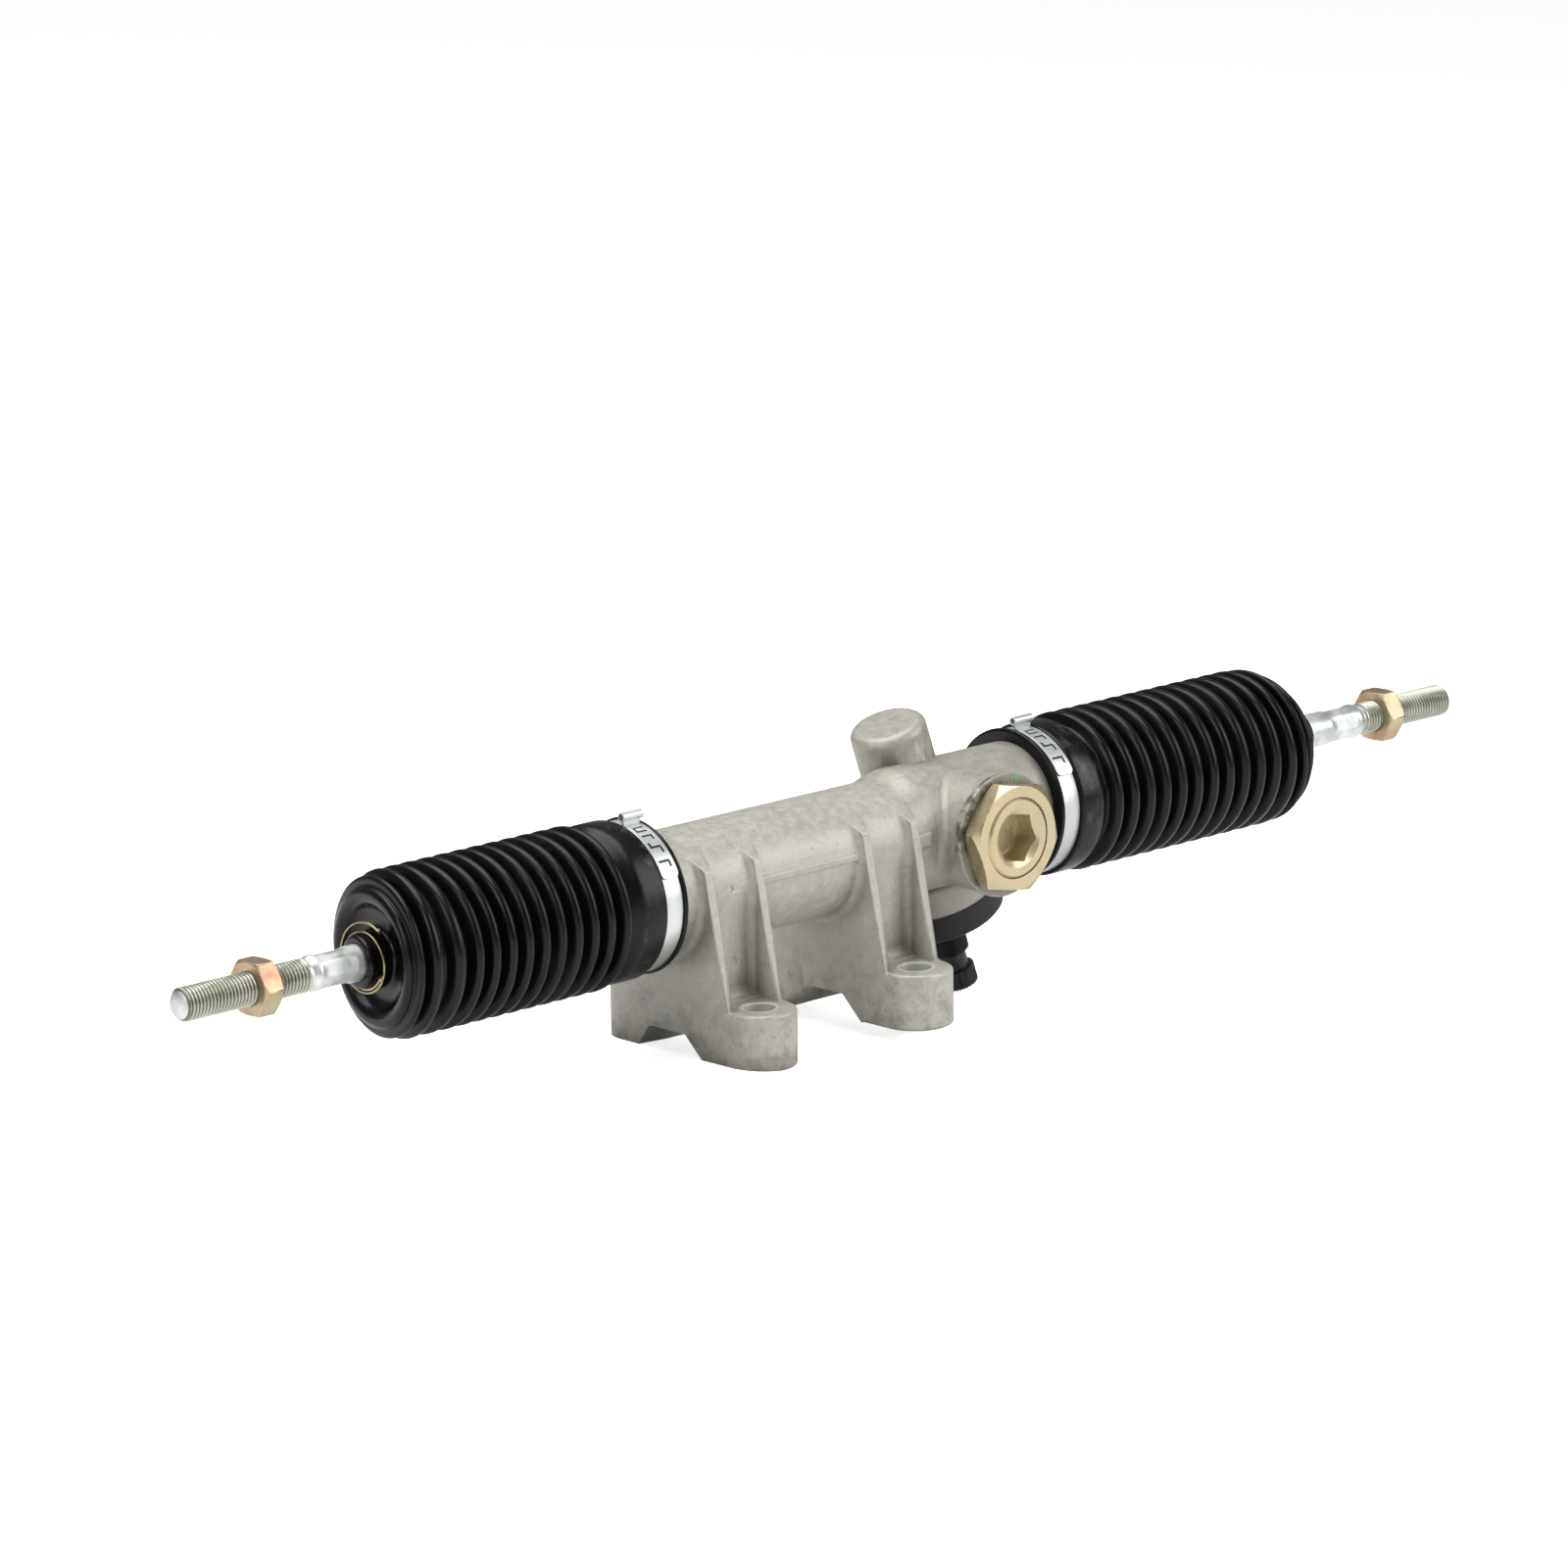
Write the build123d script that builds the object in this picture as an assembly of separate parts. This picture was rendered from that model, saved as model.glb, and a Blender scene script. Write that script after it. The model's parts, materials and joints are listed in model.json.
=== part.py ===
from build123d import *
import os
from math import acos, cos, pi, radians, sin, sqrt, tan

# Rack-and-pinion steering gear with bellows and inner tie rods.
# Shapes are modelled in the rack frame: origin where the rack axis meets the yoke axis,
# +X along the rack towards the short end, +Y away from the yoke, +Z up.
# The finished pieces are placed so that the part's origin is midway between the two front
# foot bolts, on the plane of the feet.

# ---- driving dimensions, millimetres and degrees
RUN = 0.05                  # radial clearance of a running fit
SEAT = 0.02                 # radial clearance of a pressed or screwed seat in one body
GAP = 0.3                   # clearance between a soft piece and what it meets

RACK_D = 24.0
TRAVEL_LEFT = 65.0          # rack travel from the stored position towards -X
TRAVEL_RIGHT = 35.0         # and towards +X
STOP_GAP = 0.6              # left between socket and tube at full lock
SINK = 1.0                  # how far an added piece of the casting reaches into its neighbour

TUBE_D = 47.0
TUBE_LEFT = -166.0
TUBE_RIGHT = 48.0
TUBE_BORE_D = 34.0
TUBE_BORE_LEFT = -32.0      # where the wide left bore ends
TUBE_BORE_RIGHT = 26.0      # where the wide right bore starts
RACK_CLEAR = 0.8            # round the rack where the tube is narrow
TUBE_CHAMFER = 1.5
COVE_R = 3.0                # concave fillets of the casting
BOSS_COVE_R = 3.5           # between the yoke boss and the tube

BUSH_LENGTH = 22.0
BUSH_RECESS = 5.0
BUSH_SLOT = 3.0

MODULE = 2.0
TEETH = 7
SHIFT = 0.6                 # profile shift of the pinion, in modules
PRESSURE_ANGLE = 20.0
DEDENDUM = 1.25             # depth of a tooth gap below the reference line, in modules
FLANK_POINTS = 6            # points along each involute
RACK_CHAMFER = 1.0
BACKLASH = 0.12
PINION_TIP_D = 19.2
PINION_Y = 15.0             # distance from rack axis to pinion axis
PINION_TILT = 19.0          # lean of the pinion in the XZ plane
PINION_FACE = 27.0          # length of the pinion teeth

TOP_JOURNAL_D = 10.0
TOP_BUSH_WALL = 2.0
TOP_BUSH_LENGTH = 11.0
TOP_BUSH_START = 19.0       # along the pinion axis, from the rack axis to the bush
TOP_CLEAR = 0.5             # end clearance of the top bush, both to the blind end and to the journal
TOP_BOSS_D = 28.4
TOP_BOSS_REACH = 38.0       # along the pinion axis, from the rack axis to the blind end
TOP_BOSS_ROUND = 3.5
TOP_FLARE_D = 34.0

BEARING_BORE_D = 15.0
BEARING_D = 32.0
BEARING_WIDTH = 9.0
BEARING_BALL_D = 4.76
BEARING_BALLS = 9
BEARING_CHAMFER = 0.4
BEARING_START = 18.0        # along the pinion axis, from the rack axis to the bearing
RING_WALL = 2.3
CAGE_THICK = 2.0
CAGE_WIDTH = 7.0
SHOULDER_D = 18.0
CIRCLIP_THICK = 1.2
CIRCLIP_GROOVE_D = 13.0
CIRCLIP_D = 19.0
CIRCLIP_MOUTH = 5.0

CASING_D = 47.6
CASING_MID_D = 38.0
CASING_END = 32.2           # along the pinion axis, from the rack axis to the casing's mouth
CAP_D = 48.4
CAP_DEPTH = 10.0
CAP_HOLE_D = 15.4
CAP_SEAL_D = 26.0
CAP_WALL = 2.5
CAP_EDGE = 1.2
SEAL_WIDTH = 6.0
SEAL_SHELL = 2.0            # wall of the seal's stiff ring
SEAL_LIP = 1.5              # thickness of its soft lip

SHAFT_D = 14.2
SHAFT_REACH = 71.6          # along the pinion axis, from the rack axis to the shaft's end
SPLINE_UPPER = 15.4
SPLINE_GROOVE = 7.0
SPLINE_TEETH = 30
SPLINE_DEPTH = 0.75
GROOVE_D = 10.6

YOKE_BOSS_D = 44.0
YOKE_BOSS_LIP_D = 45.4
YOKE_BOSS_LIP = 2.2
YOKE_FACE = 33.0            # rack axis to the face of the yoke boss
YOKE_D = 28.0
YOKE_START = 4.0            # rack axis to the tips of the yoke's cradle
YOKE_LINER = 1.0
SPRING_D = 18.0
SPRING_WIRE = 2.6
SPRING_TURNS = 3
SPRING_POCKET = 12.0
O_RING_WIRE = 2.0
PLUG_D = 30.0
PLUG_LENGTH = 14.0
PLUG_PROUD = 0.4            # how far the plug stands out of its lock nut
PLUG_RIM = 1.2
PLUG_SOCKET_AF = 17.0
PLUG_SOCKET_DEPTH = 9.0
PLUG_MOUTH_D = 21.6         # round recess that leads into the hexagon
PLUG_MOUTH_DEPTH = 1.6
LOCK_NUT_AF = 38.0
LOCK_NUT_DEPTH = 6.8
LOCK_NUT_TURN = -10.0

FOOT_DROP = 59.5            # rack axis to the plane of the feet
FOOT_HOLES_X = (-126.3, -49.4)
FOOT_HOLE_Y = -36.7
FOOT_HOLE_D = 12.0
FOOT_R = 13.5
FOOT_HEIGHT = 20.5
FOOT_ROUND = 1.2            # on the edges of the ear
CHANNEL_FOOT_R = 5.0        # where the channel between the ribs runs out on the ear
REAR_TAP_Y = 21.0
REAR_TAP_D = 8.5
REAR_TAP_DEPTH = 16.0
WEB_SETBACK = 0.9           # tube's front to the channel wall between the front ribs
RIB_WALL = 3.2
RIB_TOE_Y = -34.5
RIB_BEND_Z = 10.8
RIB_BEND_Y = -24.6
RIB_TOP_Y = -14.0
ARCH_TOP = 9.0
ARCH_FLOOR = (-22.3, 12.4)
ARCH_ROOF = (-12.5, 6.0)
LEDGE_HEIGHT = 3.0
LEDGE_PROUD = 0.7
LEDGE_Z = 2.0
ARCH_ROUND = 3.0
NUB_LENGTH = 7.6            # low block on the tube beside the last rib
NUB_HEIGHT = 5.0
NUB_PROUD = 1.5
NUB_Z = 2.6
MARK_D = 3.4                # ejector marks on the first bracket
MARK_DEPTH = 0.35
MARK_TUBE = (-0.6, 1.9)     # X from the bracket's middle, and Z, of the mark on the tube
MARK_WEB = (1.3, -25.0)     # and of the one on the channel wall

SOCKET_D = 38.0
SOCKET_NOSE_D = 29.0
SOCKET_STEP = 12.0
SOCKET_REBATE = 1.0         # drop in radius behind the wrench collar
SOCKET_TO_BALL = 20.4
SOCKET_MOUTH = 6.0          # ball centre to the socket's open end
SOCKET_FLATS = 34.0
STUD_D = 14.0
STUD_LENGTH = 20.0
STUD_SPARE = 2.0
LOCK_RING_D = 30.0
LOCK_RING_THICK = 2.0
BALL_D = 20.0
BALL_SEAT_WALL = 2.0
SEAT_LIP = 3.2              # ball centre to the seat's open edge

ROD_NECK_D = 10.0
ROD_D = 13.0
ROD_FLATS = 11.6            # across the four wrench flats
FLAT_LENGTH = 14.8
FLAT_LAND = 2.2             # round shank left beyond the flats
THREAD_D = 12.0
THREAD_RELIEF_D = 10.4
THREAD_RELIEF = 1.0
THREAD_CHAMFER = 1.5
NUT_AF = 18.5
NUT_DEPTH = 8.0

BOOT_D = 59.4
BOOT_ROOT_D = 48.6
BOOT_WALL = 2.0
BOOT_LIP_D = 56.4
BOOT_SEAT_D = 53.0          # under the clamp
BOOT_CUFF_D = 57.0
BOOT_CUFF = 25.5            # lip to the first valley
BOOT_PLEATS = 12
PLEAT_FLAT = 0.3            # crest of a pleat, as a share of the pitch
BOOT_NECK_WALL = 2.4
BOOT_NECK_LENGTH = 7.0
CLAMP_WIDTH = 7.8
CLAMP_INSET = 2.2           # from the boot's lip to the band
CLAMP_THICK = 0.8
CLAMP_EAR = 5.5
CLAMP_EAR_WIDTH = 8.6
CLIP_WIRE = 1.6
CLIP_TAIL = 4.0

# what differs between the two ends; each length is measured from the place named before it
SIDES = {
    "left": {
        "turn": 180.0, "tube": -TUBE_LEFT, "travel": TRAVEL_RIGHT,
        "grip": 15.5, "pleated": 92.5, "shoulder": 6.0, "shoulder_d": 46.0, "neck": 5.0,
        "free_shank": 23.0, "nut": 21.5, "thread": 55.5,
    },
    "right": {
        "turn": 0.0, "tube": TUBE_RIGHT, "travel": TRAVEL_LEFT,
        "grip": 13.5, "pleated": 101.0, "shoulder": 12.5, "shoulder_d": 44.0, "neck": 16.0,
        "free_shank": 32.0, "nut": 13.2, "thread": 48.5,
    },
}

# ---- derived places
WEB_FRONT = WEB_SETBACK - TUBE_D / 2
PINION_FRAME = Plane(
    origin=(0, PINION_Y, 0),
    x_dir=(cos(radians(PINION_TILT)), 0, sin(radians(PINION_TILT))),
    z_dir=(sin(radians(PINION_TILT)), 0, -cos(radians(PINION_TILT))),
)                           # local Z runs down the pinion shaft, local Y towards the rack
YOKE_FRAME = Plane(origin=(0, 0, 0), x_dir=(1, 0, 0), z_dir=(0, -1, 0))
ROW_PLACE = Pos(-sum(FOOT_HOLES_X) / 2, -FOOT_HOLE_Y, FOOT_DROP)

PITCH_R = MODULE * TEETH / 2
RACK_LINE = PITCH_R + SHIFT * MODULE           # pinion axis to the rack's reference line
RACK_TIP = RACK_LINE - MODULE                  # pinion axis to the tips of the rack teeth
RACK_ROOT = RACK_LINE + DEDENDUM * MODULE
PINION_ROOT_R = PITCH_R - (DEDENDUM - SHIFT) * MODULE
CHAMBER_D = PINION_TIP_D + 5.0                 # bore of the casing round the teeth
PLUG_START = YOKE_FACE + LOCK_NUT_DEPTH + PLUG_PROUD - PLUG_LENGTH
YOKE_END = PLUG_START - GAP


def ring(outer_d, inner_d, start, end):
    """A plain ring on local Z, from start to end."""
    return Pos(0, 0, start) * extrude(Circle(outer_d / 2) - Circle(inner_d / 2), end - start)


def turned(points, soft=(), radius=0.0):
    """A solid of revolution about local Z, from (radius, height) corners, the soft ones rounded."""
    face = make_face(Polyline(*points, close=True))
    corners = [face.vertices().sort_by_distance(point)[0] for point in soft]
    if corners:
        face = fillet(corners, radius)
    return revolve(Plane.XZ * face, Axis.Z, 360)


def inside_corner(radius):
    """Section that fills the corner of two walls, on local X and Y, with a concave arc."""
    near = radius * (1 - cos(radians(45)))
    return make_face([
        Polyline((0, radius), (-SINK, radius), (-SINK, 0), (radius, 0)),
        ThreePointArc((radius, 0), (near, near), (0, radius)),
    ])


def disc(diameter, start, end):
    """A plain cylinder on local Z, from start to end."""
    return Pos(0, 0, start) * extrude(Circle(diameter / 2), end - start)


def in_pinion_frame(shape):
    return PINION_FRAME.location * shape


def in_yoke_frame(shape):
    return YOKE_FRAME.location * shape


def socket_face(side):
    """Outboard distance of the socket face that meets the tube at full lock."""
    return SIDES[side]["tube"] + SIDES[side]["travel"] + STOP_GAP


def boot_places(side):
    """Outboard distances along the boot: lip, first and last valley, shoulder, and neck's end."""
    this = SIDES[side]
    lip = this["tube"] - this["grip"]
    first = lip + BOOT_CUFF
    last = first + this["pleated"]
    shoulder = last + this["shoulder"]
    return lip, first, last, shoulder, shoulder + this["neck"]


def shank_end(side):
    """Outboard distance where the rod's shank gives way to the thread."""
    return boot_places(side)[-1] + SIDES[side]["free_shank"]


def ball_centre(side):
    return socket_face(side) + SOCKET_TO_BALL


def outboard(side, shape):
    """Lays a shape built on local Z, outboard from the yoke axis, along the rack."""
    return Rot(0, 0, SIDES[side]["turn"]) * (Plane.YZ.location * shape)


# ---- housing
def foot_block(x):
    """One bracket: web down from the tube, rear pad, round front ear and the ribs with their fillets."""
    plan = Pos(0, WEB_FRONT) * Rectangle(2 * FOOT_R, REAR_TAP_Y - WEB_FRONT, align=(Align.CENTER, Align.MIN))
    plan += Pos(0, REAR_TAP_Y) * Circle(FOOT_R)
    web = Pos(0, 0, -FOOT_DROP) * extrude(plan, FOOT_DROP)
    ear_plan = Pos(0, FOOT_HOLE_Y) * (Circle(FOOT_R) + Pos(0, FOOT_R) * Rectangle(2 * FOOT_R, 2 * FOOT_R))
    ear = Pos(0, 0, -FOOT_DROP) * extrude(ear_plan, FOOT_HEIGHT)
    ear = fillet(ear.edges().filter_by(Axis.Z, reverse=True), FOOT_ROUND)
    inner = FOOT_R - RIB_WALL
    flank = rib(inner) + cove(FOOT_R) + mirror(cove(-inner), about=Plane.YZ) + channel_corner(inner)
    return Pos(x, 0, 0) * (web + ear + channel_foot() + flank + mirror(flank, about=Plane.YZ))


def rib_side():
    """Outline of a gusset: up from the ear, then bent back to run out on top of the tube."""
    toe = FOOT_HEIGHT - FOOT_DROP
    top = sqrt((TUBE_D / 2) ** 2 - RIB_TOP_Y ** 2)
    return make_face(Polyline(
        (RIB_TOE_Y, toe - FOOT_ROUND), (RIB_TOE_Y, toe), (RIB_BEND_Y, RIB_BEND_Z), (RIB_TOP_Y, top), (0, 0),
        (0, toe - FOOT_ROUND), close=True,
    ))


def rib(x):
    return Pos(x, 0, 0) * extrude(Plane.YZ * rib_side(), RIB_WALL)


def cove(x):
    """Concave fillet between the tube and a wall that crosses it, kept within the bracket's outline."""
    ring_round = revolve(Plane.XZ * (Pos(TUBE_D / 2, 0) * inside_corner(COVE_R)), Axis.Z, 360)
    rear = Rectangle(TUBE_D, TUBE_D, align=(Align.MIN, Align.MAX))
    reach = extrude(Plane.YZ * (rib_side() + rear), COVE_R)
    return Pos(x, 0, 0) * (Plane.YZ.location * ring_round & reach)


def channel_corner(x):
    """Upright fillet between a rib and the channel's wall."""
    toe = FOOT_HEIGHT - FOOT_DROP
    top = -sqrt((TUBE_D / 2) ** 2 - WEB_FRONT ** 2)
    corner = Pos(x, WEB_FRONT) * Rot(0, 0, 180) * inside_corner(COVE_R)
    return Pos(0, 0, toe) * extrude(corner, top - toe)


def channel_foot():
    """Fillet along the foot of the channel's wall."""
    corner = Pos(WEB_FRONT, FOOT_HEIGHT - FOOT_DROP) * Rot(0, 0, 90) * inside_corner(CHANNEL_FOOT_R)
    return extrude(Plane.YZ * corner, FOOT_R - RIB_WALL, both=True)


def tunnel():
    """The cored arch that runs under both brackets, between the front and rear pads."""
    roof = ARCH_TOP - FOOT_DROP
    side = make_face(Polyline(
        (ARCH_FLOOR[0], -FOOT_DROP), (ARCH_ROOF[0], roof), (ARCH_ROOF[1], roof),
        (ARCH_FLOOR[1], -FOOT_DROP), close=True,
    ))
    side = fillet(side.vertices().group_by(Axis.Y)[-1], ARCH_ROUND)
    start, end = FOOT_HOLES_X[0] - FOOT_R, FOOT_HOLES_X[1] + FOOT_R
    return Pos(start, 0, 0) * extrude(Plane.YZ * side, end - start)


def ledge():
    """Low bar along the front of the tube, from rib to rib."""
    start = FOOT_HOLES_X[0] + FOOT_R - RIB_WALL / 2
    end = FOOT_HOLES_X[1] - FOOT_R + RIB_WALL / 2
    section = Pos(-TUBE_D / 2 - LEDGE_PROUD, LEDGE_Z) * Rectangle(
        LEDGE_PROUD + RIB_WALL, LEDGE_HEIGHT, align=(Align.MIN, Align.CENTER)
    )
    section = fillet(section.vertices().group_by(Axis.X)[0], LEDGE_PROUD)
    return Pos(start, 0, 0) * extrude(Plane.YZ * section, end - start)


def nub():
    """Low block on the front of the tube, against the outer face of the last rib."""
    place = Pos(FOOT_HOLES_X[1] + FOOT_R - SINK, -TUBE_D / 2 - NUB_PROUD, NUB_Z)
    return place * Box(
        NUB_LENGTH + SINK, NUB_PROUD + 2 * SINK, NUB_HEIGHT, align=(Align.MIN, Align.MIN, Align.CENTER)
    )


def ejector_mark(place, front):
    """Shallow round spot on the first bracket, cut back from the plane of its front."""
    spot = Rot(90, 0, 0) * disc(MARK_D, 0, SINK)
    return Pos(FOOT_HOLES_X[0] + place[0], front + MARK_DEPTH, place[1]) * spot


def casing():
    """The leaning pinion casing: bearing bell below, waist round the teeth, blind boss on top."""
    reach, bell = TOP_BOSS_REACH, BEARING_START
    waist = CASING_MID_D / 2
    soft = [
        (TOP_BOSS_D / 2, -reach), (TOP_BOSS_D / 2, waist - reach), (waist, bell - TOP_BOSS_ROUND),
        (CASING_D / 2, bell + TOP_BOSS_ROUND),
    ]
    return in_pinion_frame(turned([
        (0, -reach), soft[0], soft[1], (TOP_FLARE_D / 2, waist - reach + TOP_BOSS_ROUND), (waist, 0),
        soft[2], soft[3], (CASING_D / 2, CASING_END), (0, CASING_END),
    ], soft, TOP_BOSS_ROUND))


def yoke_boss():
    """The round boss for yoke and plug, with the proud lip at its face."""
    return in_yoke_frame(
        disc(YOKE_BOSS_D, 0, YOKE_FACE) + disc(YOKE_BOSS_LIP_D, YOKE_FACE - YOKE_BOSS_LIP, YOKE_FACE)
    )


def casing_bores():
    top = TOP_JOURNAL_D + 2 * TOP_BUSH_WALL + 2 * SEAT
    return in_pinion_frame(
        disc(top, -TOP_BUSH_START - TOP_BUSH_LENGTH - TOP_CLEAR, 0)
        + disc(CHAMBER_D, -TOP_BUSH_START, BEARING_START)
        + disc(BEARING_D + 2 * SEAT, BEARING_START, CASING_END)
    )


def housing():
    body = tube_blank() + yoke_boss()
    body = fillet(boss_crossing(body), BOSS_COVE_R) + casing()
    body += [foot_block(x) for x in FOOT_HOLES_X]
    body += ledge() + nub()
    body -= tunnel()
    body -= Plane.YZ.location * (
        disc(TUBE_BORE_D, TUBE_LEFT, TUBE_BORE_LEFT) + disc(TUBE_BORE_D, TUBE_BORE_RIGHT, TUBE_RIGHT)
        + disc(RACK_D + 2 * RACK_CLEAR, TUBE_BORE_LEFT, TUBE_BORE_RIGHT)
    )
    body -= casing_bores()
    body -= in_yoke_frame(
        disc(YOKE_D, 0, PLUG_START) + disc(PLUG_D + 2 * SEAT, PLUG_START, YOKE_FACE)
    )
    for x in FOOT_HOLES_X:
        body -= Pos(x, FOOT_HOLE_Y, -FOOT_DROP) * extrude(Circle(FOOT_HOLE_D / 2), FOOT_HEIGHT)
        body -= Pos(x, REAR_TAP_Y, -FOOT_DROP) * extrude(Circle(REAR_TAP_D / 2), REAR_TAP_DEPTH)
    return body - ejector_mark(MARK_TUBE, -TUBE_D / 2) - ejector_mark(MARK_WEB, WEB_FRONT)


def boss_crossing(body):
    """The edges where the yoke boss leaves the tube: off both, in front of the axis, within the boss."""
    edges = body.edges().filter_by(GeomType.CIRCLE, reverse=True).filter_by(GeomType.LINE, reverse=True)
    return [edge for edge in edges if (edge @ 0.5).Y < 0]


def tube_blank():
    tube = Plane.YZ.location * disc(TUBE_D, TUBE_LEFT, TUBE_RIGHT)
    return chamfer(tube.edges().filter_by(GeomType.CIRCLE), TUBE_CHAMFER)


def rack_bush():
    """Split polymer bush that guides the rack in the far end of the tube."""
    start = TUBE_LEFT + BUSH_RECESS
    body = ring(TUBE_BORE_D - 2 * SEAT, RACK_D + 2 * RUN, start, start + BUSH_LENGTH)
    slot = Pos(0, 0, start) * Box(
        BUSH_SLOT, TUBE_BORE_D, BUSH_LENGTH, align=(Align.CENTER, Align.MIN, Align.MIN)
    )
    return Plane.YZ.location * (body - slot)


# ---- rack and pinion
def involute(angle):
    return tan(angle) - angle


def flank(radius, base_r, half_base):
    """Polar half angle of the tooth flank at a radius."""
    return half_base - involute(acos(min(1.0, base_r / radius)))


def pinion_section():
    """Involute teeth with positive profile shift, one of them on local +Y."""
    pressure = radians(PRESSURE_ANGLE)
    base_r, tip_r = PITCH_R * cos(pressure), PINION_TIP_D / 2
    thick = MODULE * (pi / 2 + 2 * SHIFT * tan(pressure)) - BACKLASH / 2
    half_base = thick / (2 * PITCH_R) + involute(pressure)
    radii = [base_r + (tip_r - base_r) * k / (FLANK_POINTS - 1) for k in range(FLANK_POINTS)]
    section = Circle(PINION_ROOT_R)
    for tooth in range(TEETH):
        centre = pi / 2 + 2 * pi * tooth / TEETH
        sides = []
        for hand in (1, -1):
            points = [(r, centre + hand * flank(r, base_r, half_base)) for r in radii]
            sides.append([(r * cos(a), r * sin(a)) for r, a in points])
        left, right = Spline(*sides[0]), Spline(*sides[1])
        tip = ThreePointArc(sides[0][-1], (tip_r * cos(centre), tip_r * sin(centre)), sides[1][-1])
        section += make_face([
            left, tip, right, Line(sides[1][0], (0, 0)), Line((0, 0), sides[0][0])
        ])
    return section


def rack_comb(reach_low, reach_high):
    """What is cut from the round bar: the flat over the teeth and the gaps between them."""
    pitch = pi * MODULE
    slope = tan(radians(PRESSURE_ANGLE))
    half_gap = pitch / 4 + BACKLASH / 4
    over = RACK_LINE - RACK_D
    top = half_gap + (RACK_LINE - RACK_TIP) * slope
    root = half_gap - (RACK_ROOT - RACK_LINE) * slope
    first, last = round(reach_low / pitch), round(reach_high / pitch)
    outline = [(pitch * first - top, over)]
    for k in range(first, last + 1):
        x = k * pitch
        outline += [(x - top, RACK_TIP), (x - root, RACK_ROOT), (x + root, RACK_ROOT), (x + top, RACK_TIP)]
    outline.append((pitch * last + top, over))
    depth = RACK_D + (reach_high - reach_low) * tan(radians(PINION_TILT))
    return extrude(make_face(Polyline(*outline, close=True)), depth, both=True)


def rack_bar():
    """Round bar with teeth that lean with the pinion, threaded holes in both ends."""
    ends = [SIDES["left"], SIDES["right"]]
    low, high = (socket_face(side) - LOCK_RING_THICK for side in ("left", "right"))
    bar = Plane.YZ.location * disc(RACK_D, -low, high)
    bar = chamfer(bar.edges().filter_by(GeomType.CIRCLE), RACK_CHAMFER)
    margin = TEETH * MODULE
    scale = cos(radians(PINION_TILT))
    bar -= in_pinion_frame(rack_comb(
        -(ends[0]["travel"] + margin) * scale, (ends[1]["travel"] + margin) * scale
    ))
    hole = STUD_D + 2 * SEAT
    depth = STUD_LENGTH + STUD_SPARE
    bar -= Plane.YZ.location * disc(hole, high - depth, high)
    bar -= Plane.YZ.location * disc(hole, -low, depth - low)
    return bar


def spline_section():
    """Serrated outline of the steering-column end."""
    points = []
    for k in range(2 * SPLINE_TEETH):
        r = SHAFT_D / 2 - (k % 2) * SPLINE_DEPTH
        a = pi * k / SPLINE_TEETH
        points.append((r * cos(a), r * sin(a)))
    return make_face(Polyline(*points, close=True))


def pinion_shaft():
    """Top journal, teeth, bearing seat, seal journal and the splined end with its clamp groove."""
    teeth = Pos(0, 0, -PINION_FACE / 2) * extrude(pinion_section(), PINION_FACE)
    cap_face = CASING_END + CAP_DEPTH
    upper_end = cap_face + SPLINE_UPPER
    lower = upper_end + SPLINE_GROOVE
    clip = BEARING_START + BEARING_WIDTH
    core = disc(TOP_JOURNAL_D, TOP_CLEAR - TOP_BUSH_START - TOP_BUSH_LENGTH, -PINION_FACE / 2)
    core += disc(SHOULDER_D, PINION_FACE / 2, BEARING_START)
    core += disc(BEARING_BORE_D - 2 * SEAT, BEARING_START, clip)
    core += disc(CIRCLIP_GROOVE_D, clip, clip + CIRCLIP_THICK)
    core += disc(SHAFT_D, clip + CIRCLIP_THICK, cap_face)
    for start, length in ((cap_face, SPLINE_UPPER), (lower, SHAFT_REACH - lower)):
        core += Pos(0, 0, start) * extrude(spline_section(), length)
    core += disc(GROOVE_D, upper_end, lower)
    return in_pinion_frame(teeth + core)


def top_bush():
    start = -TOP_BUSH_START - TOP_BUSH_LENGTH
    outer = TOP_JOURNAL_D + 2 * TOP_BUSH_WALL
    return in_pinion_frame(ring(outer, TOP_JOURNAL_D + 2 * RUN, start, -TOP_BUSH_START))


def bearing_middle():
    return (BEARING_D + BEARING_BORE_D) / 4


def raceway(radius):
    """The groove that the balls run in: a torus a running clearance fatter than they are."""
    centre = BEARING_START + BEARING_WIDTH / 2
    return Pos(0, 0, centre) * Torus(radius, BEARING_BALL_D / 2 + RUN)


def bearing_ring(outer_d, inner_d):
    end = BEARING_START + BEARING_WIDTH
    blank = chamfer(ring(outer_d, inner_d, BEARING_START, end).edges(), BEARING_CHAMFER)
    return in_pinion_frame(blank - raceway(bearing_middle()))


def bearing_outer_ring():
    return bearing_ring(BEARING_D, BEARING_D - 2 * RING_WALL)


def bearing_inner_ring():
    return bearing_ring(BEARING_BORE_D + 2 * RING_WALL, BEARING_BORE_D)


def ball_places():
    centre = BEARING_START + BEARING_WIDTH / 2
    return [
        Rot(0, 0, 360 * k / BEARING_BALLS) * Pos(bearing_middle(), 0, centre)
        for k in range(BEARING_BALLS)
    ]


def bearing_balls():
    """The ring of balls, each a solid of its own."""
    return in_pinion_frame(Compound([place * Sphere(BEARING_BALL_D / 2) for place in ball_places()]))


def bearing_cage():
    """Ring with a round pocket for each ball."""
    centre = BEARING_START + BEARING_WIDTH / 2
    middle_d = 2 * bearing_middle()
    cage = ring(
        middle_d + CAGE_THICK, middle_d - CAGE_THICK, centre - CAGE_WIDTH / 2, centre + CAGE_WIDTH / 2
    )
    pocket = Rot(0, 90, 0) * Cylinder(BEARING_BALL_D / 2 + RUN, 2 * CAGE_THICK)
    for place in ball_places():
        cage -= place * pocket
    return in_pinion_frame(cage)


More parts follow.
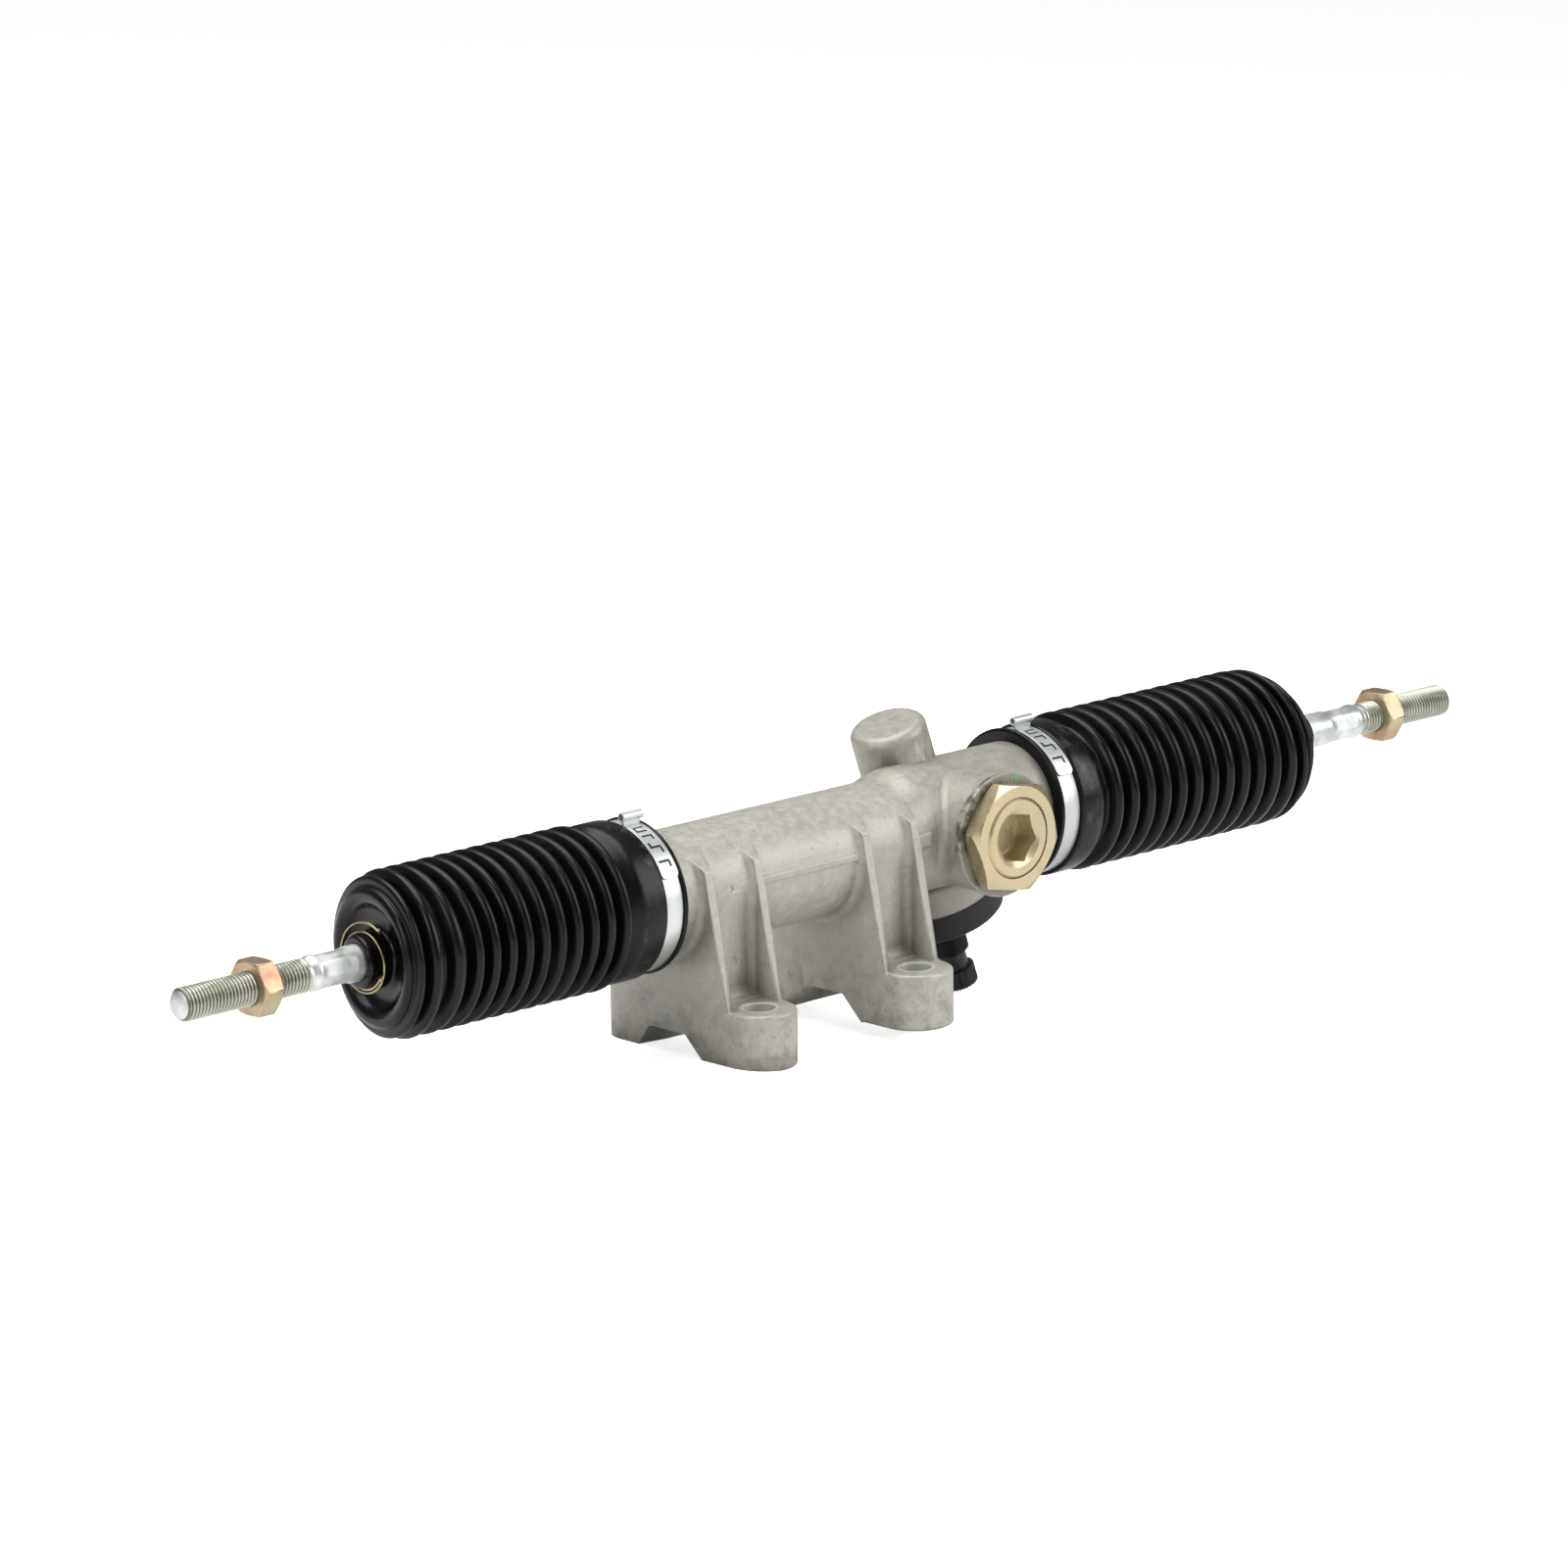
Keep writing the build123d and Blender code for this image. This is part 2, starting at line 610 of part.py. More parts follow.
def circlip():
    """Open snap ring in the shaft groove below the bearing."""
    start = BEARING_START + BEARING_WIDTH + SEAT
    body = ring(CIRCLIP_D, CIRCLIP_GROOVE_D + 2 * SEAT, start, start + CIRCLIP_THICK - 2 * SEAT)
    mouth = Pos(0, 0, start) * Box(
        CIRCLIP_D, CIRCLIP_MOUTH, CIRCLIP_THICK, align=(Align.MIN, Align.CENTER, Align.MIN)
    )
    return in_pinion_frame(body - mouth)


def seal_cap():
    """Black cap pressed over the casing's mouth; its spigot holds the bearing's outer ring."""
    mouth, face = CASING_END, CASING_END + CAP_DEPTH
    spigot_start = BEARING_START + BEARING_WIDTH + SEAT
    seal_end = mouth + CAP_DEPTH - CAP_WALL
    r = CAP_D / 2
    return in_pinion_frame(turned([
        (CAP_SEAL_D / 2, spigot_start), (BEARING_D / 2, spigot_start), (BEARING_D / 2, mouth + SEAT),
        (r, mouth + SEAT), (r, face - CAP_EDGE), (r - CAP_EDGE, face), (CAP_HOLE_D / 2, face),
        (CAP_HOLE_D / 2, seal_end), (CAP_SEAL_D / 2, seal_end),
    ]))


def shaft_seal():
    """Lip seal in the cap: stiff ring with a thin lip towards the shaft."""
    end = CASING_END + CAP_DEPTH - CAP_WALL - SEAT
    start = end - SEAL_WIDTH
    flange = end - SEAL_LIP - SEAL_SHELL / 2
    lip = SHAFT_D / 2 + RUN
    outer = CAP_SEAL_D / 2 - SEAT
    return in_pinion_frame(turned([
        (outer, start), (outer, end), (lip + SEAL_LIP, end), (lip, end - SEAL_LIP),
        (lip + SEAL_LIP / 2, start + SEAL_LIP / 2), (lip + SEAL_LIP, flange),
        (outer - SEAL_SHELL, flange), (outer - SEAL_SHELL, start),
    ]))


# ---- yoke
def yoke():
    """Slipper that presses the rack into the pinion: round body, cradle, spring pocket, ring groove."""
    body = disc(YOKE_D - 2 * RUN, YOKE_START, YOKE_END)
    body -= disc(SPRING_D + 2 * GAP, YOKE_END - SPRING_POCKET, YOKE_END)
    groove = YOKE_END - 2 * O_RING_WIRE
    body -= ring(YOKE_D, YOKE_D - 2 * O_RING_WIRE, groove - O_RING_WIRE, groove)
    body = in_yoke_frame(body)
    return body - Plane.YZ.location * disc(RACK_D + 2 * YOKE_LINER + 2 * SEAT, -YOKE_D, YOKE_D)


def yoke_liner():
    """Thin curved pad between cradle and rack."""
    strip = Plane.YZ.location * ring(RACK_D + 2 * YOKE_LINER, RACK_D + 2 * RUN, -YOKE_D, YOKE_D)
    return strip & in_yoke_frame(disc(YOKE_D - 2 * YOKE_LINER, YOKE_START, YOKE_END))


def yoke_ring():
    """Rubber ring that damps the yoke in its bore."""
    groove = YOKE_END - 2 * O_RING_WIRE
    return in_yoke_frame(Pos(0, 0, groove - O_RING_WIRE / 2) * Torus(
        (YOKE_D - O_RING_WIRE) / 2 - SEAT, O_RING_WIRE / 2 - SEAT
    ))


def yoke_spring():
    """Coil spring between yoke and plug."""
    low, high = YOKE_END - SPRING_POCKET + SPRING_WIRE / 2 + SEAT, PLUG_START - SPRING_WIRE / 2 - SEAT
    radius = (SPRING_D - SPRING_WIRE) / 2
    path = Helix((high - low) / SPRING_TURNS, high - low, radius)
    wire = sweep(Plane(origin=path @ 0, z_dir=path % 0) * Circle(SPRING_WIRE / 2), path=path)
    return in_yoke_frame(Pos(0, 0, low) * wire)


def yoke_plug():
    """Threaded adjuster with a hexagon socket in a round recess."""
    end = PLUG_START + PLUG_LENGTH
    blank = chamfer(disc(PLUG_D, PLUG_START, end).edges(), PLUG_RIM)
    hexagon = Pos(0, 0, end - PLUG_SOCKET_DEPTH) * extrude(
        RegularPolygon(PLUG_SOCKET_AF / sqrt(3), 6, rotation=LOCK_NUT_TURN), PLUG_SOCKET_DEPTH
    )
    return in_yoke_frame(blank - hexagon - disc(PLUG_MOUTH_D, end - PLUG_MOUTH_DEPTH, end))


def hexagon_nut(across_flats, bore_d, start, depth, turn):
    """Nut with both faces chamfered to a circle."""
    corner_r = across_flats / sqrt(3)
    rise = (corner_r - across_flats / 2) * tan(radians(30))
    blank = Pos(0, 0, start) * extrude(RegularPolygon(corner_r, 6, rotation=turn), depth)
    cone = turned([
        (0, start), (across_flats / 2, start), (corner_r, start + rise), (corner_r, start + depth - rise),
        (across_flats / 2, start + depth), (0, start + depth),
    ])
    return (blank & cone) - disc(bore_d, start, start + depth)


def yoke_lock_nut():
    return in_yoke_frame(hexagon_nut(
        LOCK_NUT_AF, PLUG_D + 2 * SEAT, YOKE_FACE, LOCK_NUT_DEPTH, LOCK_NUT_TURN
    ))


# ---- inner joints and tie rods
def lock_ring(side):
    """Washer between rack end and socket."""
    face = socket_face(side)
    return outboard(side, ring(LOCK_RING_D, STUD_D + 2 * SEAT, face - LOCK_RING_THICK, face))


def ball_socket(side):
    """Socket screwed into the rack end: stud, wrench flats, ball cavity and flared mouth."""
    face, centre = socket_face(side), ball_centre(side)
    mouth = centre + SOCKET_MOUTH
    neck_r = SOCKET_D / 2 - SOCKET_REBATE
    body = disc(STUD_D, face - STUD_LENGTH, face) + disc(SOCKET_D, face, face + SOCKET_STEP)
    body += turned([
        (0, face), (neck_r, face), (neck_r, face + SOCKET_STEP), (neck_r - SOCKET_REBATE, centre),
        (SOCKET_NOSE_D / 2, mouth), (0, mouth),
    ])
    cavity_r = BALL_D / 2 + BALL_SEAT_WALL + 2 * RUN
    body -= Pos(0, 0, centre) * Sphere(cavity_r)
    body -= disc(2 * (cavity_r - BALL_SEAT_WALL), centre, mouth)
    flats = Pos(0, 0, face) * (
        Box(SOCKET_D, SOCKET_D, SOCKET_STEP, align=(Align.CENTER, Align.CENTER, Align.MIN))
        - Box(SOCKET_D, SOCKET_FLATS, SOCKET_STEP, align=(Align.CENTER, Align.CENTER, Align.MIN))
    )
    return outboard(side, body - flats)


def ball_seat(side):
    """Polymer shell round the ball, open towards the rod."""
    centre = ball_centre(side)
    shell = Sphere(BALL_D / 2 + BALL_SEAT_WALL + RUN) - Sphere(BALL_D / 2 + RUN)
    return outboard(side, Pos(0, 0, centre) * (shell - disc(2 * SOCKET_D, SEAT_LIP, SOCKET_D)))


def tie_rod(side):
    """Ball, neck, shank with four wrench flats, and the threaded end."""
    centre, end = ball_centre(side), shank_end(side)
    tip = end + SIDES[side]["thread"]
    neck_r, rod_r, thread_r = ROD_NECK_D / 2, ROD_D / 2, THREAD_D / 2
    relief_r = THREAD_RELIEF_D / 2
    flare = centre + BALL_D
    round_end = end - rod_r + relief_r
    body = turned([
        (0, centre), (neck_r, centre), (neck_r, flare), (rod_r, flare + 2 * (rod_r - neck_r)),
        (rod_r, round_end), (relief_r, end), (relief_r, end + THREAD_RELIEF),
        (thread_r, end + 2 * THREAD_RELIEF), (thread_r, tip - THREAD_CHAMFER),
        (thread_r - THREAD_CHAMFER, tip), (0, tip),
    ])
    body += Pos(0, 0, centre) * Sphere(BALL_D / 2)
    square = extrude(Rectangle(ROD_D, ROD_D) - Rectangle(ROD_FLATS, ROD_FLATS), -FLAT_LENGTH)
    return outboard(side, body - Pos(0, 0, round_end - FLAT_LAND) * square)


def jam_nut(side):
    start = shank_end(side) + SIDES[side]["nut"] - NUT_DEPTH / 2
    return outboard(side, hexagon_nut(NUT_AF, THREAD_D + 2 * SEAT, start, NUT_DEPTH, 0))


# ---- bellows, clamps and clips
def boot(side):
    """Rubber bellows: lip, clamp seat, cuff, pleats, rolled shoulder and neck on the tie rod."""
    lip, first, last, shoulder, neck = boot_places(side)
    band_start, band_end = clamp_span(side)
    pitch = (last - first) / BOOT_PLEATS
    ridge, valley = BOOT_D / 2, BOOT_ROOT_D / 2
    inner = TUBE_D / 2 + GAP
    cuff = BOOT_CUFF_D / 2
    outer = [
        (inner, lip), (BOOT_LIP_D / 2, lip), (BOOT_LIP_D / 2, band_start - GAP),
        (BOOT_SEAT_D / 2, band_start - GAP), (BOOT_SEAT_D / 2, band_end + GAP),
        (cuff, band_end + GAP), (cuff, first - pitch / 2), (valley, first),
    ]
    for k in range(BOOT_PLEATS):
        z = first + k * pitch
        crest = z + pitch / 2
        flat = PLEAT_FLAT * pitch / 2
        outer += [(ridge, crest - flat), (ridge, crest + flat), (valley, z + pitch)]
    neck_in = ROD_D / 2 + GAP
    neck_out = neck_in + BOOT_NECK_WALL
    shoulder_r = SIDES[side]["shoulder_d"] / 2
    floor, floor_r = neck - BOOT_NECK_LENGTH, neck_out + 2 * CLIP_WIRE
    outer += [
        (ridge - BOOT_WALL / 2, last + pitch / 2), (shoulder_r, shoulder), (floor_r, floor),
        (neck_out, floor), (neck_out, neck), (neck_in, neck),
    ]
    root = valley - BOOT_WALL
    back = [
        (neck_in, floor - BOOT_WALL), (floor_r, floor - BOOT_WALL),
        (shoulder_r - BOOT_WALL, shoulder - BOOT_WALL),
        (root, last), (root, first), (inner, SIDES[side]["tube"] + GAP),
    ]
    return outboard(side, turned(outer + back))


def clamp_span(side):
    """Outboard start and end of the boot's clamp band."""
    start = boot_places(side)[0] + CLAMP_INSET
    return start, start + CLAMP_WIDTH


def boot_clamp(side):
    """Metal band with a raised ear where it closes."""
    start, end = clamp_span(side)
    inner = BOOT_SEAT_D + 2 * SEAT
    band = ring(inner + 2 * CLAMP_THICK, inner, start, end)
    ear = Pos(0, inner / 2 + CLAMP_THICK / 2, start) * Box(
        CLAMP_EAR_WIDTH, CLAMP_EAR, CLAMP_WIDTH, align=(Align.CENTER, Align.MIN, Align.MIN)
    )
    return outboard(side, band + ear)


def neck_clip(side):
    """Spring wire round the boot's neck, with its two tails."""
    middle = boot_places(side)[-1] - BOOT_NECK_LENGTH / 2
    radius = ROD_D / 2 + GAP + BOOT_NECK_WALL + GAP + CLIP_WIRE / 2
    clip = Torus(radius, CLIP_WIRE / 2)
    for hand in (1, -1):
        clip += Pos(hand * CLIP_WIRE, radius, 0) * Rot(-90, 0, 0) * disc(CLIP_WIRE, 0, CLIP_TAIL)
    return outboard(side, Pos(0, 0, middle) * clip)


def main():
    pieces = {
        "housing": housing(), "rack_bush": rack_bush(), "rack_bar": rack_bar(),
        "pinion_shaft": pinion_shaft(), "pinion_top_bush": top_bush(),
        "bearing_outer_ring": bearing_outer_ring(), "bearing_inner_ring": bearing_inner_ring(),
        "bearing_balls": bearing_balls(), "bearing_cage": bearing_cage(),
        "bearing_circlip": circlip(), "seal_cap": seal_cap(), "shaft_seal": shaft_seal(),
        "yoke": yoke(), "yoke_liner": yoke_liner(), "yoke_ring": yoke_ring(),
        "yoke_spring": yoke_spring(), "yoke_plug": yoke_plug(), "yoke_lock_nut": yoke_lock_nut(),
    }
    makers = (lock_ring, ball_socket, ball_seat, tie_rod, jam_nut, boot, boot_clamp, neck_clip)
    for side in SIDES:
        for make in makers:
            pieces[f"{side}_{make.__name__}"] = make(side)
    os.makedirs("parts", exist_ok=True)
    for name, shape in pieces.items():
        export_step(ROW_PLACE * shape, f"parts/{name}.step")


main()
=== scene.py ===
"""Steering rack: bellows, clamps, clips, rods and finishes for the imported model, and a stage."""
import json
from math import cos, pi, radians, sin

import bmesh
import bpy
import numpy as np
from mathutils import Matrix, Vector


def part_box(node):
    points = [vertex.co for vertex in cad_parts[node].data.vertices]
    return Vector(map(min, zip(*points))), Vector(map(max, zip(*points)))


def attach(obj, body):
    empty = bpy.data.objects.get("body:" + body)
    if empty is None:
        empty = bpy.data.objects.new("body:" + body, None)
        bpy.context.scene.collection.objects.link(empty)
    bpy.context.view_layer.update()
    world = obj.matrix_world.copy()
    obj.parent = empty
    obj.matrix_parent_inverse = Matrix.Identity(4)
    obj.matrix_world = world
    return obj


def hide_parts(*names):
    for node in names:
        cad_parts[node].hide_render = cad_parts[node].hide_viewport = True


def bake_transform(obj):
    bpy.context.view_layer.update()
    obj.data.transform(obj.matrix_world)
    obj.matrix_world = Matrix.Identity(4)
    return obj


bl_info = {
    "name": "Steering rack",
    "version": (1, 0, 0),
    "blender": (4, 5, 0),
    "location": "View3D > Sidebar > Steering rack",
    "description": "Bellows, clamps, clips, threaded rods, finishes and stage for a steering rack",
    "category": "Object",
}

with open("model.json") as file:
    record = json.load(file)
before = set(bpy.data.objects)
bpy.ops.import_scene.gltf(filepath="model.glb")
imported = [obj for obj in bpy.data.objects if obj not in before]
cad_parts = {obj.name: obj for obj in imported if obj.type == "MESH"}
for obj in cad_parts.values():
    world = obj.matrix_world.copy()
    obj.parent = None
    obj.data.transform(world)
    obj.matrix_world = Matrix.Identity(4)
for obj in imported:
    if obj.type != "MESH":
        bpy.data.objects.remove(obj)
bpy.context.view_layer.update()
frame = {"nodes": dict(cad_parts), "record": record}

MM = 0.001
SIDES = {"left": -1, "right": 1}  # sign of the outboard direction along X


def middle(node):
    """Centre of a CAD node's box."""
    low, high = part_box(node)
    return (low + high) / 2


RACK = middle("rack_bar")  # a point of the rack axis
YOKE_X = middle("yoke_plug").x  # outboard distances start at the yoke axis
BOSS_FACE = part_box("yoke_lock_nut")[1].y  # where the yoke boss ends, under its lock nut
BOLT_X = 38.45 * MM  # the front bolt holes stand at X = +-BOLT_X, Y = 0
BOLT_HOLE_R = 6.0 * MM
PAINT_SPOT = (YOKE_X + 5 * MM, BOSS_FACE + 2 * MM, RACK.z + 20.5 * MM)
FLAKED_SPOT = (YOKE_X - 16 * MM, BOSS_FACE, RACK.z + 12 * MM)
ASKEW = (0.31, 0.17, 0.93)  # no wire runs this way


def outboard_span(node, side):
    """Least and greatest outboard distance of a node from the yoke axis, in metres."""
    low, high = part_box(node)
    return sorted(SIDES[side] * (x - YOKE_X) for x in (low.x, high.x))


def width_of(node):
    """Size of a node's box across the rack, in metres."""
    low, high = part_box(node)
    return high.z - low.z


# ---- surfaces
def smooth(value):
    """The smooth step 3t^2 - 2t^3 of a value held between 0 and 1."""
    t = np.clip(value, 0, 1)
    return t**2 * (3 - 2 * t)


def rounded(corners, radius, steps=5):
    """Corners joined by straight runs, each inner corner P traded for the parabola
    (1-t)^2 A + 2t(1-t) P + t^2 C, where A and C lie on its two runs, a radius away at most."""
    p = np.asarray(corners, float)
    back, on = p[:-2] - p[1:-1], p[2:] - p[1:-1]
    reach = [np.linalg.norm(d, axis=1, keepdims=True) for d in (back, on)]
    a, c = (
        p[1:-1] + d / size * np.minimum(radius, 0.48 * size) for d, size in zip((back, on), reach)
    )
    t = np.linspace(0, 1, steps)[None, :, None]
    curve = (1 - t) ** 2 * a[:, None] + 2 * t * (1 - t) * p[1:-1, None] + t**2 * c[:, None]
    return np.vstack([p[:1], curve.reshape(-1, 2), p[-1:]])


def surface(name, points, wrap_u=False, wrap_v=False, keep=None, sharp=40):
    """Mesh object from a grid of points: quads between neighbours, doubled points merged."""
    nu, nv = points.shape[:2]
    index = np.arange(nu * nv).reshape(nu, nv)
    if wrap_u:
        index = np.vstack([index, index[:1]])
    if wrap_v:
        index = np.hstack([index, index[:, :1]])
    quads = np.stack([index[:-1, :-1], index[1:, :-1], index[1:, 1:], index[:-1, 1:]], -1)
    quads = quads.reshape(-1, 4) if keep is None else quads[keep]
    mesh = bpy.data.meshes.new(name)
    mesh.from_pydata(points.reshape(-1, 3), [], quads.tolist())
    return tidy_mesh(name, mesh, sharp)


def placed(name, data):
    """A new object in the scene."""
    piece = bpy.data.objects.new(name, data)
    bpy.context.scene.collection.objects.link(piece)
    return piece


def tidy_mesh(name, mesh, sharp):
    """Merges doubles, drops loose points, turns faces outwards and shades smooth, but for edges
    sharper than an angle in degrees."""
    work = bmesh.new()
    work.from_mesh(mesh)
    bmesh.ops.remove_doubles(work, verts=work.verts, dist=MM / 1000)
    loose = [v for v in work.verts if not v.link_faces]
    bmesh.ops.delete(work, geom=loose, context="VERTS")
    bmesh.ops.recalc_face_normals(work, faces=work.faces)
    work.to_mesh(mesh)
    work.free()
    mesh.shade_smooth()
    mesh.set_sharp_from_angle(angle=radians(sharp))
    return placed(name, mesh)


def circle(count):
    """Evenly spaced angles of one full turn."""
    return np.linspace(0, 2 * pi, count, endpoint=False)


def around(side, s, radius, angle):
    """Points at outboard distances s and a radius, turned about the rack axis: angle 0 is +Y and a
    quarter turn is +Z."""
    return np.stack(np.broadcast_arrays(
        YOKE_X + SIDES[side] * s, RACK.y + radius * np.cos(angle), RACK.z + radius * np.sin(angle)
    ), -1)


def round_rack(profile, side, count):
    """Points of a profile (outboard distance, radius) turned about the rack axis."""
    s, radius = np.asarray(profile, float).T[:, :, None]
    return around(side, s, radius, circle(count))


def wire(path, radius, sides=12):
    """Points of a round wire: circles of one radius square to a path, each starting from the cross
    product of the path and the askew direction, with the wire's ends drawn to a point."""
    along = np.gradient(path, axis=0)
    along /= np.linalg.norm(along, axis=1, keepdims=True)
    first = np.cross(along, ASKEW)
    first /= np.linalg.norm(first, axis=1, keepdims=True)
    second = np.cross(along, first)
    size = np.full((len(path), 1, 1), radius)
    size[[0, -1]] = 0
    a = circle(sides)[None, :, None]
    return path[:, None] + size * (first[:, None] * np.cos(a) + second[:, None] * np.sin(a))


def merged_copy(node, name, sharp):
    """A CAD node's mesh as one connected skin, so that it shades smoothly."""
    return tidy_mesh(name, frame["nodes"][node].data.copy(), sharp)


# ---- finishes
def put(tree, kind, inputs=(), **settings):
    """Adds a shader node; inputs pairs a socket's name or number with a value or an output."""
    node = tree.nodes.new("ShaderNode" + kind)
    for key, value in settings.items():
        setattr(node, key, value)
    for key, value in dict(inputs).items():
        if isinstance(value, bpy.types.NodeSocket):
            tree.links.new(value, node.inputs[key])
        else:
            node.inputs[key].default_value = value
    return node


def noise(tree, place, scale, detail=4.0, rough=0.55, stretch=(1, 1, 1)):
    """Noise at a place, whose coordinates are first multiplied by the stretch."""
    at = put(tree, "Mapping", {"Vector": place, "Scale": stretch}).outputs[0]
    return put(
        tree, "TexNoise",
        {"Vector": at, "Scale": scale, "Detail": detail, "Roughness": rough},
    ).outputs["Fac"]


def ramp(tree, value, low, high, start=0.0, stop=1.0):
    """A value between low and high, mapped to start and stop and held there beyond them."""
    return put(tree, "MapRange", {
        "Value": value, "From Min": low, "From Max": high, "To Min": start, "To Max": stop
    }, clamp=True).outputs[0]


def mix(tree, share, first, second):
    """Second colour over first, by share."""
    first, second = (
        tint if isinstance(tint, bpy.types.NodeSocket) else (*tint, 1) for tint in (first, second)
    )
    return put(tree, "Mix", {0: share, 6: first, 7: second}, data_type="RGBA").outputs[2]


def blank(name):
    """An empty material, its node tree and the shaded point in the frame's coordinates."""
    material = bpy.data.materials.new(name)
    material.use_nodes = True
    tree = material.node_tree
    tree.nodes.clear()
    return material, tree, put(tree, "TexCoord").outputs["Object"]


def finished(material, inputs, kind="BsdfPrincipled"):
    """The material with its shader, of one kind with these inputs, at its output."""
    shader = put(material.node_tree, kind, inputs)
    put(material.node_tree, "OutputMaterial", {"Surface": shader.outputs[0]})
    return material


def math(tree, operation, first, second=0.0):
    """One arithmetic step on two values."""
    return put(tree, "Math", {0: first, 1: second}, operation=operation).outputs[0]


def times(tree, first, second):
    """The product of two values."""
    return math(tree, "MULTIPLY", first, second)


def length_of(tree, first, second):
    """sqrt(first^2 + second^2)."""
    squares = [math(tree, "POWER", value, 2.0) for value in (first, second)]
    return math(tree, "SQRT", math(tree, "ADD", *squares))


def coordinate(tree, place, axis):
    """One of a place's coordinates."""
    return put(tree, "SeparateXYZ", {"Vector": place}).outputs[axis]


def near(tree, place, point, inner, outer):
    """1 within the inner distance of a point, 0 beyond the outer distance."""
    apart = put(tree, "VectorMath", {0: place, 1: point}, operation="DISTANCE")
    return ramp(tree, apart.outputs["Value"], inner, outer, 1.0, 0.0)


def slab(tree, value, low, high, soft):
    """1 where a value lies between low and high, falling to 0 over a soft border outside them."""
    rise = ramp(tree, value, low - soft, low)
    return times(tree, rise, ramp(tree, value, high, high + soft, 1.0, 0.0))


def outboard_slab(tree, place, soft, spans):
    """The slab for each side's (low, high) outboard distances in millimetres, both in one."""
    from_yoke = math(tree, "SUBTRACT", coordinate(tree, place, "X"), YOKE_X)
    return math(tree, "MAXIMUM", *(
        slab(tree, times(tree, from_yoke, SIDES[side]), low * MM, high * MM, soft)
        for side, (low, high) in spans.items()
    ))


def eased_edges(tree, radius):
    """The normal over edges eased by a radius, and how far an edge rubs: 0 on a plane, 1 on it."""
    eased = put(tree, "Bevel", {"Radius": radius}, samples=6).outputs[0]
    true = put(tree, "NewGeometry").outputs["Normal"]
    facing = put(tree, "VectorMath", {0: eased, 1: true}, operation="DOT_PRODUCT")
    return eased, ramp(tree, facing.outputs["Value"], 0.995, 0.93)


def raised(tree, distance, height, **under):
    """The normal of a skin that a pattern raises by a distance, over another normal if given."""
    return put(tree, "Bump", {
        "Strength": 1.0, "Distance": distance, "Height": height, **under
    }).outputs[0]


def metal(name, dark, light, roughness, metallic=1.0, drift=30.0, grain=900.0, relief=0.03,
          edge=0.4, worn=None, stretch=(1, 1, 1), speck=0.5):
    """Uneven metal: its tone drifts between two colours, edges rub to a third one, and fine noise
    raises the skin. Edge and relief are in millimetres, drift and grain are noise scales."""
    material, tree, place = blank(name)
    broad = noise(tree, place, drift, 5.0, 0.6, stretch)
    fine = noise(tree, place, grain, 3.0, 0.6, stretch)
    eased, rub = eased_edges(tree, edge * MM)
    tone = mix(tree, ramp(tree, broad, 0.36, 0.64), dark, light)
    specked = mix(tree, ramp(tree, fine, 0.60, 0.74, 0.0, speck), tone, dark)
    return finished(material, {
        "Base Color": mix(tree, rub, specked, worn or light), "Metallic": metallic,
        "Normal": raised(tree, relief * MM, fine, Normal=eased),
        "Roughness": ramp(tree, broad, 0.3, 0.7, roughness * 0.8, roughness * 1.25),
    })


def casting(name, look):
    """Raw die casting: mottled grey with dark pits and bright specks, rubbed edges, painted shade
    in its hollows, grime near the feet, painted shade over its right half, flaked skin at the
    boss's rim, a fleck of green marking paint on the boss and bright bolt holes."""
    material, tree, place = blank(name)
    broad = noise(tree, place, 24.0, 6.0, 0.62)
    mottle = noise(tree, place, 300.0, 4.0, 0.6)
    fine = noise(tree, place, 760.0, 3.0, 0.6)
    eased, rub = eased_edges(tree, 0.8 * MM)
    x, y, z = (coordinate(tree, place, axis) for axis in "XYZ")
    both = math(tree, "ADD", times(tree, broad, 0.4), times(tree, mottle, 0.6))
    hollow_shade = put(tree, "AmbientOcclusion", {"Distance": 11 * MM}, samples=6).outputs["AO"]
    patch = ramp(tree, noise(tree, place, 120.0, 6.0, 0.65), 0.47, 0.70)
    flake = ramp(tree, noise(tree, place, 210.0, 6.0, 0.7), 0.45, 0.55, 0.0, 0.95)
    rim = slab(tree, y, BOSS_FACE - MM, BOSS_FACE + 3 * MM, MM)
    flaked = times(tree, rim, near(tree, place, FLAKED_SPOT, 14 * MM, 19 * MM))
    from_bolt = length_of(tree, math(tree, "SUBTRACT", math(tree, "ABSOLUTE", x), BOLT_X), y)
    fleck = near(tree, place, PAINT_SPOT, 1.5 * MM, 4.5 * MM)
    tone = look.cast_dark
    for share, tint in (
        (ramp(tree, both, 0.40, 0.60), look.cast_light),
        (ramp(tree, fine, 0.62, 0.71, 0.0, 0.6), look.cast_pit_and_shade),
        (ramp(tree, fine, 0.36, 0.29, 0.0, 0.4), look.cast_rub),
        (rub, look.cast_rub),
        # painted shade: darker where the ambient occlusion finds a hollow, as between the brackets
        # and the web
        (ramp(tree, hollow_shade, 0.90, 0.45, 0.0, 0.75), look.cast_pit_and_shade),
        # painted shade: darker towards +X over the casing half
        (ramp(tree, x, 45 * MM, 80 * MM, 0.0, 0.33), look.cast_pit_and_shade),
        (times(tree, ramp(tree, z, 30 * MM, 0.0, 0.0, 0.75), patch), look.stain),
        (times(tree, flaked, flake), look.stain),
        (ramp(tree, from_bolt, BOLT_HOLE_R + 0.6 * MM, BOLT_HOLE_R + MM, 0.6, 0.0), look.zinc),
        (times(tree, fleck, ramp(tree, mottle, 0.50, 0.56)), look.paint),
    ):
        tone = mix(tree, share, tone, tint)
    return finished(material, {
        "Base Color": tone, "Metallic": 0.3,
        "Normal": raised(tree, 0.09 * MM, math(tree, "ADD", fine, mottle), Normal=eased),
        "Roughness": ramp(tree, mottle, 0.3, 0.7, 0.40, 0.56),
    })


